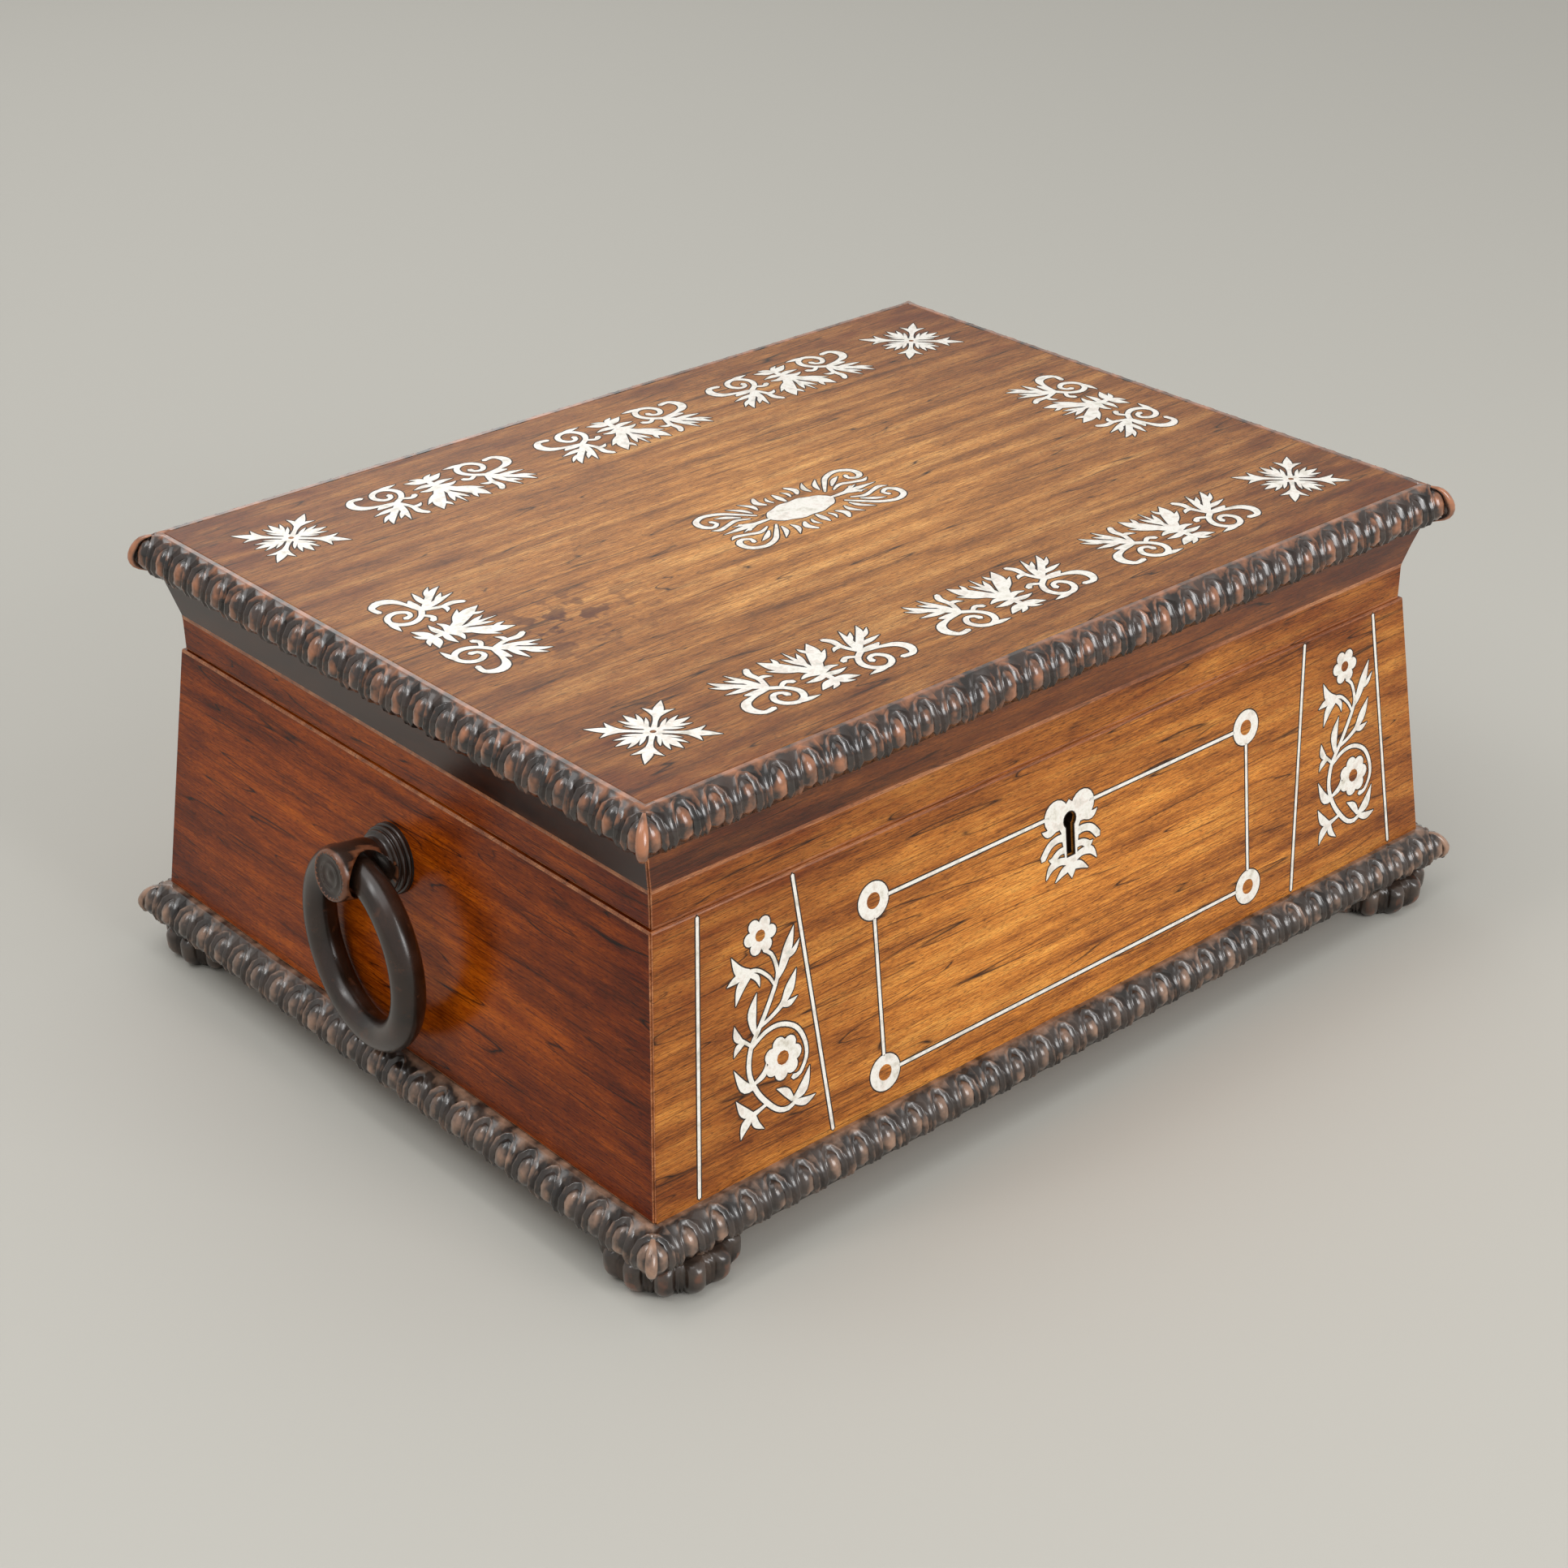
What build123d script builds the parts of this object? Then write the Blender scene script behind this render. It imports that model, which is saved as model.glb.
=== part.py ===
from build123d import *
import os
from math import atan2, cos, degrees, pi, radians, sin, sqrt, tan

# Early nineteenth century sewing box of sarcophagus form, in millimetres.
# +X is to the right of someone facing the keyhole, the front is at -Y, +Z is up.
# The origin is the middle of the footprint on the surface that the box stands on.
# A reach is measured outwards from the edge of the top panel.

# Overall sizes
panel_length = 300.0
panel_width = 223.0
foot_height = 10.5
base_height = 12.5
case_height = 80.5
band_height = 10.8
splay_height = 13.9
top_moulding_height = 12.8
panel_thickness = 8.0

# Reaches of the walls
rim_reach = -1.0
case_reach = 7.3
band_reach = -2.0
splay_reach = 1.5
board_reach = 5.0

# Walls, lining and tray
wall_thickness = 9.0
lining_thickness = 6.0
tray_height = 26.0
tray_below_rim = 1.0
tray_clearance = 1.0
tray_wall = 3.0
tray_floor_thickness = 2.5
side_divider_place = 70.0
cross_divider_place = 25.0
finger_notch_radius = 9.0
soft_clearance = 0.3
lid_pad_thickness = 4.0
pincushion_crown = 2.5
pincushion_bevel = 5.0

# Carved mouldings
gadroon_pitch = 10.1
gadroon_groove = 1.3
top_moulding_land = 1.4
top_moulding_reach = 7.5
top_moulding_lip = 0.6
top_crown_shares = [(0.69, 0.14), (1.0, 0.55), (0.91, 0.86)]
base_moulding_land = 3.7
base_moulding_reach = 15.3
base_crown_shares = [(0.74, 0.13), (1.0, 0.5), (0.93, 0.84), (0.64, 1.0)]

# Feet
foot_radius = 18.4
foot_lobes = 12
foot_groove = 1.5
foot_sole_chamfer = 2.2
foot_neck_chamfer = 0.8
foot_inset_x = 20.5
foot_inset_y = 17.5

# Ring handles
boss_drop = 23.9
boss_length = 21.0
collar_radius = 10.5
collar_length = 4.2
collar_chamfer = 1.6
neck_radius = 8.2
boss_end_chamfer = 0.9
eye_distance = 12.0
eye_clearance = 0.55
ring_hang_clearance = 0.7
ring_tube_radius = 4.9
ring_sides = 12
ring_steps = 20
turning_sides = 20
eye_sides = 12
ring_yaw = 6.0

# Hinges
hinge_place = 90.0
hinge_width = 30.0
hinge_leaf_depth = 11.0
hinge_leaf_thickness = 1.2
knuckle_radius = 2.3
knuckle_gap = 0.2
knuckle_share = 1 / 3
hinge_pin_radius = 1.0
hinge_pin_clearance = 0.05
hinge_wall_gap = 0.3
knuckle_sides = 12

# Lock
lock_width = 50.0
lock_thickness = 6.5
lock_height = 37.5
lock_plate = 1.0
lock_top_plate = 1.4
lock_clearance = 0.1
staple_place = 10.0
staple_thickness = 1.5
staple_width = 3.9
staple_length = 10.0
staple_foot = 1.5
window_height = 3.4
window_width = 2.1
staple_slot_clearance = 0.35
link_plate_length = 40.0
link_plate_thickness = 1.4
finger_height = 2.6
finger_width = 1.7
finger_gap = 0.5
finger_length = 5.5
hook_post = 3.0
bolt_bar_height = 4.0
bolt_bar_drop = 13.5
bolt_bar_width = 3.5
bolt_guide_gap = 0.2
bolt_guide_thickness = 1.4

# Inlay of mother of pearl
inlay_depth = 1.0
glue_gap = 0.1
string_width = 1.4
string_margin = 1.2
outer_string_top = 134.0
outer_string_bottom = 142.0
inner_string_top = 102.0
inner_string_bottom = 95.0
roundel_place = 75.0
roundel_upper_drop = 18.8
roundel_foot_rise = 10.0
roundel_radius = 5.5
roundel_hole_radius = 2.2
roundel_sides = 12
escutcheon_drop = 27.5
escutcheon_width = 23.0
escutcheon_height = 26.0
keyhole_rise = 5.6
keyhole_radius = 2.3
keyhole_slot_width = 2.8
keyhole_slot_length = 11.0
spray_place = 117.5
spray_top_margin = 8.3
spray_foot_margin = 11.6
spray_width = 28.0
corner_motif_x = 124.3
border_motif_y = 83.0
border_motif_pitch = 70.0
border_motif_length = 58.0
border_motif_depth = 26.0
rosette_size = 26.0
rosette_corner_share = 1.3
rosette_side_share = 0.92
rosette_valley_share = 0.4
plaque_length = 62.0
plaque_width = 32.0
plaque_oval_length = 25.0
plaque_oval_width = 12.0
plaque_oval_sides = 16

# Heights above the surface that the box stands on
base_z = foot_height
case_z = base_z + base_height
rim_z = case_z + case_height
band_z = rim_z + band_height
splay_z = band_z + splay_height
top_z = splay_z + top_moulding_height
panel_z = top_z - panel_thickness
tray_top_z = rim_z - tray_below_rim
tray_z = tray_top_z - tray_height

# Sizes that follow from the ones above
half_length = panel_length / 2
half_width = panel_width / 2
slope = (case_reach - rim_reach) / case_height
slope_angle = atan2(case_reach - rim_reach, case_height)
face_height = case_height / cos(slope_angle)
ring_radius = (case_height - boss_drop - ring_tube_radius - ring_hang_clearance) / 2
roundel_lower_drop = face_height - roundel_foot_rise
spray_height = face_height - spray_top_margin - spray_foot_margin
spray_drop = spray_top_margin + spray_height / 2
rim_inner_reach = rim_reach - wall_thickness
lid_inner_reach = band_reach - wall_thickness
hinge_y = half_width + rim_reach + knuckle_radius + hinge_wall_gap
lock_inner_y = -(half_width + rim_inner_reach)
lock_outer_y = lock_inner_y - lock_thickness
lock_middle_y = (lock_inner_y + lock_outer_y) / 2

UP = Vector(0, 0, 1)
SIDES = {
    "front": Vector(0, -1, 0),
    "back": Vector(0, 1, 0),
    "left": Vector(-1, 0, 0),
    "right": Vector(1, 0, 0),
}


def wall_reach(z):
    """Outward reach of a case wall's outer face at the height z."""
    return rim_reach + (rim_z - z) * slope


def halves(outward):
    """Half sizes of the top panel, across a side and along it."""
    if outward.X:
        return half_length, half_width
    return half_width, half_length


def edge_plane(outward, shift=0.0):
    """Plane across a side of the box: its x is the reach, and its y the height."""
    across, _ = halves(outward)
    along = outward.cross(UP)
    return Plane(origin=outward * across + along * shift, x_dir=outward, z_dir=along)


mitre_inside = 40.0
mitre_outside = 30.0


def mitre_wedge(outward):
    """The quarter of the box that lies between the two mitres of a side."""
    across, length = halves(outward)
    along = outward.cross(UP)
    near = outward * (across - mitre_inside)
    far = outward * (across + mitre_outside)
    corners = [
        near - along * (length - mitre_inside),
        near + along * (length - mitre_inside),
        far + along * (length + mitre_outside),
        far - along * (length + mitre_outside),
    ]
    with BuildPart() as wedge:
        with BuildSketch(Plane.XY):
            Polygon(*[(c.X, c.Y) for c in corners], align=None)
        extrude(amount=top_z)
    return wedge.part


def mitred_rail(name, side, section):
    """A straight rail of one section with both ends cut to the mitres of the box."""
    outward = SIDES[side]
    _, length = halves(outward)
    with BuildPart() as rail:
        with BuildSketch(edge_plane(outward)):
            Polygon(*section, align=None)
        extrude(amount=length + mitre_outside, both=True)
        add(mitre_wedge(outward), mode=Mode.INTERSECT)
    rail.part.label = name
    return rail


def gadrooned_rail(name, side, crown, back_reach, reach):
    """A carved rail: its crown swells at each gadroon and draws in at each groove."""
    outward = SIDES[side]
    _, length = halves(outward)
    half_run = length + reach
    count = round(2 * half_run / gadroon_pitch)
    pitch = 2 * half_run / count
    top = crown[0][1]
    bottom = crown[-1][1]
    with BuildPart() as rail:
        for step in range(2 * count + 1):
            depth = gadroon_groove if step % 2 else 0.0
            outline = [(back_reach, top)]
            outline += [(m - depth, z) for m, z in crown]
            outline += [(back_reach, bottom)]
            with BuildSketch(edge_plane(outward, -half_run + step * pitch / 2)):
                Polygon(*outline, align=None)
        loft(ruled=True)
        add(mitre_wedge(outward), mode=Mode.INTERSECT)
    rail.part.label = name
    return rail


def plain_box(name, low, high):
    """A board with square edges between two corners."""
    size = [b - a for a, b in zip(low, high)]
    with BuildPart() as board:
        with BuildSketch(Plane.XY.offset(low[2])):
            with Locations(((low[0] + high[0]) / 2, (low[1] + high[1]) / 2)):
                Rectangle(size[0], size[1])
        extrude(amount=size[2])
    board.part.label = name
    return board


# Plane of the front wall's outer face: x to the right, y up the slope from the rim
front_face = Plane(
    origin=(0, -(half_width + rim_reach), rim_z),
    x_dir=(1, 0, 0),
    z_dir=(0, -cos(slope_angle), sin(slope_angle)),
)
top_face = Plane.XY.offset(top_z)


def draw_line(start, end):
    """A straight string of pearl between two points of the current sketch."""
    way = Vector(end[0] - start[0], end[1] - start[1])
    middle = ((start[0] + end[0]) / 2, (start[1] + end[1]) / 2)
    with Locations(Location(middle, degrees(atan2(way.Y, way.X)))):
        Rectangle(way.length, string_width)


def draw_strings():
    """The two pairs of upright strings and the rectangle that the roundels join."""
    top = -string_margin
    bottom = -(face_height - string_margin)
    reach = roundel_radius + glue_gap
    inner = roundel_place - reach
    plate_edge = escutcheon_width / 2
    for side in (-1, 1):
        draw_line((side * outer_string_top, top), (side * outer_string_bottom, bottom))
        draw_line((side * inner_string_top, top), (side * inner_string_bottom, bottom))
        draw_line(
            (side * roundel_place, -roundel_upper_drop - reach),
            (side * roundel_place, -roundel_lower_drop + reach),
        )
        draw_line((side * inner, -roundel_upper_drop), (side * plate_edge, -roundel_upper_drop))
    draw_line((-inner, -roundel_lower_drop), (inner, -roundel_lower_drop))


def draw_roundels():
    """The four ring-shaped roundels at the corners of the front's rectangle."""
    drops = (roundel_upper_drop, roundel_lower_drop)
    with Locations(*[(side * roundel_place, -drop) for side in (-1, 1) for drop in drops]):
        RegularPolygon(roundel_radius, roundel_sides)
        RegularPolygon(roundel_hole_radius, roundel_sides, mode=Mode.SUBTRACT)


def draw_keyhole():
    """The keyhole: a round eye over a narrow slot."""
    with Locations((0, -escutcheon_drop + keyhole_rise)):
        Circle(keyhole_radius)
    with Locations((0, -escutcheon_drop + keyhole_rise - keyhole_slot_length / 2)):
        Rectangle(keyhole_slot_width, keyhole_slot_length)


def draw_escutcheon():
    """The heart-shaped keyhole plate with its leafy foot."""
    half = [
        (0.0, 0.41), (0.18, 0.5), (0.40, 0.46), (0.43, 0.31), (0.36, 0.16), (0.47, 0.13),
        (0.34, 0.0), (0.5, -0.13), (0.36, -0.22), (0.46, -0.38), (0.26, -0.4), (0.0, -0.5),
    ]
    right = [(x * escutcheon_width, y * escutcheon_height - escutcheon_drop) for x, y in half]
    left = [(-x, y) for x, y in reversed(right[1:-1])]
    Polygon(*right, *left, align=None)


def draw_spray(place):
    """One upright flower spray, as the outline of its stem, leaves and flowers."""
    shares = [
        (-0.44, -0.5), (-0.1, -0.42), (0.3, -0.47), (0.48, -0.36), (0.3, -0.3), (0.42, -0.12),
        (0.3, 0.02), (0.2, 0.12), (0.44, 0.22), (0.4, 0.38), (0.2, 0.26), (0.16, 0.46),
        (-0.08, 0.5), (-0.2, 0.38), (-0.02, 0.26), (-0.36, 0.34), (-0.42, 0.16), (-0.14, 0.16),
        (-0.2, 0.02), (-0.42, 0.0), (-0.3, -0.14), (-0.46, -0.24), (-0.24, -0.34),
    ]
    points = [(place + x * spray_width, y * spray_height - spray_drop) for x, y in shares]
    Polygon(*points, align=None)


def draw_rosettes():
    """The four corner rosettes: four long leaves to the corners, and four between."""
    tip = rosette_size / 2
    valley = rosette_valley_share * tip
    points = []
    for quarter in range(8):
        turn = quarter * pi / 4
        leaf_tip = tip * (rosette_corner_share if quarter % 2 else rosette_side_share)
        points.append((leaf_tip * cos(turn), leaf_tip * sin(turn)))
        points.append((valley * cos(turn + pi / 8), valley * sin(turn + pi / 8)))
    for x in (-corner_motif_x, corner_motif_x):
        for y in (-border_motif_y, border_motif_y):
            Polygon(*[(x + px, y + py) for px, py in points], align=None)


def scroll_points():
    """Half-plane outline of one border scroll: a palmette between two C-scrolls."""
    half = [
        (0.0, -0.44), (0.12, -0.5), (0.1, -0.12), (0.24, -0.42), (0.36, -0.5), (0.5, -0.28),
        (0.4, -0.1), (0.5, 0.3), (0.36, 0.22), (0.3, 0.5), (0.24, 0.1), (0.16, 0.5), (0.08, 0.2),
        (0.0, 0.46),
    ]
    right = [(x * border_motif_length, y * border_motif_depth) for x, y in half]
    return right + [(-x, y) for x, y in reversed(right[1:-1])]


def draw_scrolls():
    """The eight border scrolls: three front and back, and one at each end."""
    places = [(step * border_motif_pitch, -border_motif_y, 0) for step in (-1, 0, 1)]
    places += [(step * border_motif_pitch, border_motif_y, 180) for step in (-1, 0, 1)]
    places += [(-corner_motif_x, 0, -90), (corner_motif_x, 0, 90)]
    for x, y, turn in places:
        c = cos(radians(turn))
        s = sin(radians(turn))
        turned = [(x + c * px - s * py, y + s * px + c * py) for px, py in scroll_points()]
        Polygon(*turned, align=None)


def draw_plaque():
    """The centre cartouche, pierced round its plain oval."""
    half = [
        (0.5, 0.22), (0.42, 0.5), (0.3, 0.42), (0.2, 0.5), (0.12, 0.36), (0.0, 0.5),
    ]
    quarter = [(x * plaque_length, y * plaque_width) for x, y in half]
    upper = quarter + [(-x, y) for x, y in reversed(quarter[:-1])]
    Polygon(*upper, *[(x, -y) for x, y in reversed(upper)], align=None)


def draw_oval():
    """The plain oval in the middle of the cartouche, as a many-sided figure."""
    half_x = plaque_oval_length / 2
    half_y = plaque_oval_width / 2
    turns = [2 * pi * step / plaque_oval_sides for step in range(plaque_oval_sides)]
    Polygon(*[(half_x * cos(turn), half_y * sin(turn)) for turn in turns], align=None)


def inlay(name, face_plane, draw, *places):
    """A drawing cut out of pearl, as deep as the pocket that it is glued into."""
    with BuildPart() as plate:
        with BuildSketch(face_plane):
            draw(*places)
        extrude(amount=-inlay_depth)
    plate.part.label = name
    return plate


pieces = []

# Case walls: boards that lean inwards, mitred at the corners
wall_section = [
    (rim_reach, rim_z),
    (case_reach, case_z),
    (case_reach - wall_thickness, case_z),
    (rim_inner_reach, rim_z),
]
case_left = mitred_rail("case_left", "left", wall_section)
case_right = mitred_rail("case_right", "right", wall_section)

with BuildPart() as case_front:
    add(mitred_rail("front_board", "front", wall_section).part)
    add(inlay("pocket", front_face, draw_strings).part, mode=Mode.SUBTRACT)
    add(inlay("pocket", front_face, draw_roundels).part, mode=Mode.SUBTRACT)
    add(inlay("pocket", front_face, draw_escutcheon).part, mode=Mode.SUBTRACT)
    add(inlay("pocket", front_face, draw_spray, -spray_place).part, mode=Mode.SUBTRACT)
    add(inlay("pocket", front_face, draw_spray, spray_place).part, mode=Mode.SUBTRACT)
    with BuildSketch(front_face):
        draw_keyhole()
    extrude(amount=-lock_thickness, mode=Mode.SUBTRACT)
    # Mortise for the lock, open at the rim and at the inside
    with BuildSketch(Plane.XY.offset(rim_z)):
        with Locations((0, lock_outer_y - lock_clearance)):
            Rectangle(
                lock_width + 2 * lock_clearance,
                wall_thickness,
                align=(Align.CENTER, Align.MIN),
            )
    extrude(amount=-(lock_height + lock_clearance), mode=Mode.SUBTRACT)
case_front.part.label = "case_front"

hinge_places = (-hinge_place, hinge_place)
with BuildPart() as case_back:
    add(mitred_rail("back_board", "back", wall_section).part)
    # Shallow seats for the hinge leaves in the rim
    with BuildSketch(Plane.XY.offset(rim_z)):
        with Locations(*[(x, hinge_y - hinge_leaf_depth - lock_clearance) for x in hinge_places]):
            Rectangle(
                hinge_width + 2 * lock_clearance,
                hinge_leaf_depth,
                align=(Align.CENTER, Align.MIN),
            )
    extrude(amount=-hinge_leaf_thickness, mode=Mode.SUBTRACT)
case_back.part.label = "case_back"
pieces += [case_front, case_back, case_left, case_right]

case_bottom = plain_box(
    "case_bottom",
    (-half_length - board_reach, -half_width - board_reach, base_z),
    (half_length + board_reach, half_width + board_reach, case_z),
)
pieces.append(case_bottom)

# Carved mouldings of the lid and of the base, one rail to each side
top_crown = [(top_moulding_land, top_z)]
for out, down in top_crown_shares:
    top_crown.append((top_moulding_reach * out, top_z - top_moulding_height * down))
top_crown.append((splay_reach + gadroon_groove + top_moulding_lip, splay_z))
base_crown = [(board_reach + base_moulding_land, case_z)]
for out, down in base_crown_shares:
    reach = board_reach + (base_moulding_reach - board_reach) * out
    base_crown.append((reach, case_z - base_height * down))
for side in SIDES:
    pieces.append(gadrooned_rail("top_moulding_" + side, side, top_crown, 0.0, top_moulding_reach))
    pieces.append(
        gadrooned_rail("base_moulding_" + side, side, base_crown, board_reach, base_moulding_reach)
    )

# Lining boards inside the case, on which the tray stands
case_inner_reach = case_reach - wall_thickness
tray_ledge_reach = wall_reach(tray_z) - wall_thickness
lining_section = [
    (case_inner_reach, case_z),
    (tray_ledge_reach, tray_z),
    (tray_ledge_reach - lining_thickness, tray_z),
    (case_inner_reach - lining_thickness, case_z),
]
for side in ("back", "left", "right"):
    pieces.append(mitred_rail("lining_" + side, side, lining_section))
with BuildPart() as lining_front:
    add(mitred_rail("front_lining_board", "front", lining_section).part)
    # Notch round the foot of the lock
    with BuildSketch(Plane.XY.offset(tray_z)):
        with Locations((0, lock_inner_y + lock_clearance)):
            Rectangle(
                lock_width + 2 * lock_clearance,
                lock_thickness + wall_thickness,
                align=(Align.CENTER, Align.MAX),
            )
    extrude(amount=-(tray_z - rim_z + lock_height + lock_clearance), mode=Mode.SUBTRACT)
lining_front.part.label = "lining_front"
pieces.append(lining_front)


def draw_foot(x, y):
    """Plan of a foot: two shoulders to each lobe, and a groove between the lobes."""
    points = []
    for lobe in range(foot_lobes):
        for turn, depth in ((0.0, foot_groove), (0.3, 0.0), (0.7, 0.0)):
            angle = 2 * pi * (lobe + turn) / foot_lobes
            radius = foot_radius - depth
            points.append((x + radius * cos(angle), y + radius * sin(angle)))
    Polygon(*points, align=None)


foot_x = half_length + base_moulding_reach - foot_inset_x
foot_y = half_width + base_moulding_reach - foot_inset_y
for end, x in (("left", -foot_x), ("right", foot_x)):
    for face, y in (("front", -foot_y), ("back", foot_y)):
        with BuildPart() as foot:
            with BuildSketch(Plane.XY):
                draw_foot(x, y)
            extrude(amount=foot_height)
            chamfer(foot.faces().sort_by(Axis.Z)[0].edges(), foot_sole_chamfer)
            chamfer(foot.faces().sort_by(Axis.Z)[-1].edges(), foot_neck_chamfer)
        foot.part.label = "foot_" + face + "_" + end
        pieces.append(foot)

# Ring handles: a turned boss square to the sloping wall, and a ring through its eye
boss_z = rim_z - boss_drop
# The ring bends and turns aside by these in the length of its eye, which clears them
ring_bend = ring_radius - sqrt(ring_radius**2 - neck_radius**2)
ring_turn = neck_radius * tan(radians(ring_yaw))
eye_radius = ring_tube_radius + sqrt(ring_bend**2 + ring_turn**2) + eye_clearance

for end, sign in (("left", -1), ("right", 1)):
    normal = Vector(sign * cos(slope_angle), 0, sin(slope_angle))
    seat = Vector(sign * (half_length + wall_reach(boss_z)), 0, boss_z)
    eye = seat + normal * eye_distance
    across = Vector(0, 1, 0)
    with BuildPart() as boss:
        with BuildSketch(Plane(origin=seat, x_dir=across, z_dir=normal)):
            RegularPolygon(collar_radius, turning_sides)
        extrude(amount=collar_length)
        chamfer(boss.faces().sort_by(Axis(seat, normal))[-1].edges(), collar_chamfer)
        with BuildSketch(Plane(origin=seat, x_dir=across, z_dir=normal)):
            RegularPolygon(neck_radius, turning_sides)
        extrude(amount=boss_length)
        chamfer(boss.faces().sort_by(Axis(seat, normal))[-1].edges(), boss_end_chamfer)
        with BuildSketch(Plane(origin=eye, x_dir=normal, z_dir=across)):
            RegularPolygon(eye_radius, eye_sides, major_radius=False)
        extrude(amount=collar_radius, both=True, mode=Mode.SUBTRACT)
    boss.part.label = "handle_boss_" + end
    pieces.append(boss)

    yaw = radians(ring_yaw)
    ring_axis = Vector(cos(yaw), sign * sin(yaw), 0)
    centre = eye - UP * ring_radius
    way = ring_axis.cross(UP)
    with BuildPart() as ring:
        for half in (0, ring_steps // 2):
            for step in range(half, half + ring_steps // 2 + 1):
                turn = 2 * pi * step / ring_steps
                spoke = UP * cos(turn) + way * sin(turn)
                tangent = ring_axis.cross(spoke)
                with BuildSketch(Plane(centre + spoke * ring_radius, x_dir=spoke, z_dir=tangent)):
                    RegularPolygon(ring_tube_radius, ring_sides)
            loft(ruled=True)
    ring.part.label = "handle_ring_" + end
    pieces.append(ring)

# Inlay of the front
pieces.append(inlay("front_strings", front_face, draw_strings))
pieces.append(inlay("front_roundels", front_face, draw_roundels))
pieces.append(inlay("front_spray_left", front_face, draw_spray, -spray_place))
pieces.append(inlay("front_spray_right", front_face, draw_spray, spray_place))

with BuildPart() as escutcheon:
    add(inlay("heart", front_face, draw_escutcheon).part)
    with BuildSketch(front_face):
        draw_keyhole()
    extrude(amount=-inlay_depth, mode=Mode.SUBTRACT)
escutcheon.part.label = "escutcheon"
pieces.append(escutcheon)

# Lock: a case let into the front wall, and a bolt that slides towards +X
with BuildPart() as lock_case:
    with BuildSketch(Plane.XY.offset(rim_z)):
        with Locations((0, lock_middle_y)):
            Rectangle(lock_width, lock_thickness)
    extrude(amount=-lock_height)
    with BuildSketch(Plane.XY.offset(rim_z - lock_top_plate)):
        with Locations((0, lock_middle_y)):
            Rectangle(lock_width - 2 * lock_plate, lock_thickness - 2 * lock_plate)
    extrude(amount=-(lock_height - lock_top_plate - lock_plate), mode=Mode.SUBTRACT)
    with BuildSketch(Plane.XY.offset(rim_z)):
        with Locations((-staple_place, lock_middle_y), (staple_place, lock_middle_y)):
            Rectangle(
                staple_thickness + 2 * staple_slot_clearance,
                staple_width + 2 * staple_slot_clearance,
            )
    extrude(amount=-lock_top_plate, mode=Mode.SUBTRACT)
    # Ledge inside the lock that carries the bolt
    with BuildSketch(Plane.XY.offset(rim_z - bolt_bar_drop - bolt_bar_height - bolt_guide_gap)):
        with Locations((0, lock_middle_y)):
            Rectangle(lock_width - lock_plate, lock_thickness - lock_plate)
    extrude(amount=-bolt_guide_thickness)
    with BuildSketch(front_face):
        draw_keyhole()
    extrude(amount=-lock_thickness, mode=Mode.SUBTRACT)
lock_case.part.label = "lock_case"

window_top_z = rim_z - staple_length + staple_foot + window_height
finger_z = window_top_z - window_height / 2 - finger_height / 2
with BuildPart() as lock_bolt:
    tips = [x - staple_thickness / 2 - finger_gap for x in (-staple_place, staple_place)]
    bar_start = tips[0] - finger_length - hook_post
    bar_end = tips[1] - finger_length
    bar_z = rim_z - bolt_bar_drop - bolt_bar_height
    with BuildSketch(Plane.XY.offset(bar_z)):
        with Locations(((bar_start + bar_end) / 2, lock_middle_y)):
            Rectangle(bar_end - bar_start, bolt_bar_width)
    extrude(amount=bolt_bar_height)
    for tip in tips:
        with BuildSketch(Plane.XY.offset(bar_z)):
            with Locations((tip - finger_length - hook_post / 2, lock_middle_y)):
                Rectangle(hook_post, finger_width)
        extrude(amount=finger_z + finger_height - bar_z)
        with BuildSketch(Plane.XY.offset(finger_z)):
            with Locations((tip - (finger_length + hook_post) / 2, lock_middle_y)):
                Rectangle(finger_length + hook_post, finger_width)
        extrude(amount=finger_height)
lock_bolt.part.label = "lock_bolt"

with BuildPart() as link_plate:
    with BuildSketch(Plane.XY.offset(rim_z)):
        with Locations((0, lock_middle_y)):
            Rectangle(link_plate_length, lock_thickness - 2 * lock_clearance)
    extrude(amount=link_plate_thickness)
    with BuildSketch(Plane.XY.offset(rim_z)):
        with Locations((-staple_place, lock_middle_y), (staple_place, lock_middle_y)):
            Rectangle(staple_thickness, staple_width)
    extrude(amount=-staple_length)
    with BuildSketch(Plane.XY.offset(window_top_z)):
        with Locations((0, lock_middle_y)):
            Rectangle(link_plate_length, window_width)
    extrude(amount=-window_height, mode=Mode.SUBTRACT)
link_plate.part.label = "link_plate"
pieces += [lock_case, lock_bolt, link_plate]


def hinge_leaf(name, x, direction, tabs):
    """A leaf let into a rim, with knuckles on the tabs that run out to the pin."""
    leaf_start = hinge_y - hinge_leaf_depth
    leaf_back = half_width + rim_reach
    with BuildPart() as leaf:
        with BuildSketch(Plane.XY.offset(rim_z)):
            with Locations((x, leaf_start)):
                Rectangle(
                    hinge_width, leaf_back - leaf_start - knuckle_gap, align=(Align.CENTER, Align.MIN)
                )
            for start, end in tabs:
                with Locations((x + start, leaf_start)):
                    Rectangle(end - start, hinge_leaf_depth, align=(Align.MIN, Align.MIN))
        extrude(amount=direction * hinge_leaf_thickness)
        for start, end in tabs:
            with BuildSketch(Plane.YZ.offset(x + start)):
                with Locations((hinge_y, rim_z)):
                    RegularPolygon(knuckle_radius, knuckle_sides)
            extrude(amount=end - start)
        with BuildSketch(Plane.YZ.offset(x - hinge_width / 2)):
            with Locations((hinge_y, rim_z)):
                Circle(hinge_pin_radius + hinge_pin_clearance)
        extrude(amount=hinge_width, mode=Mode.SUBTRACT)
    leaf.part.label = name
    return leaf


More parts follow.
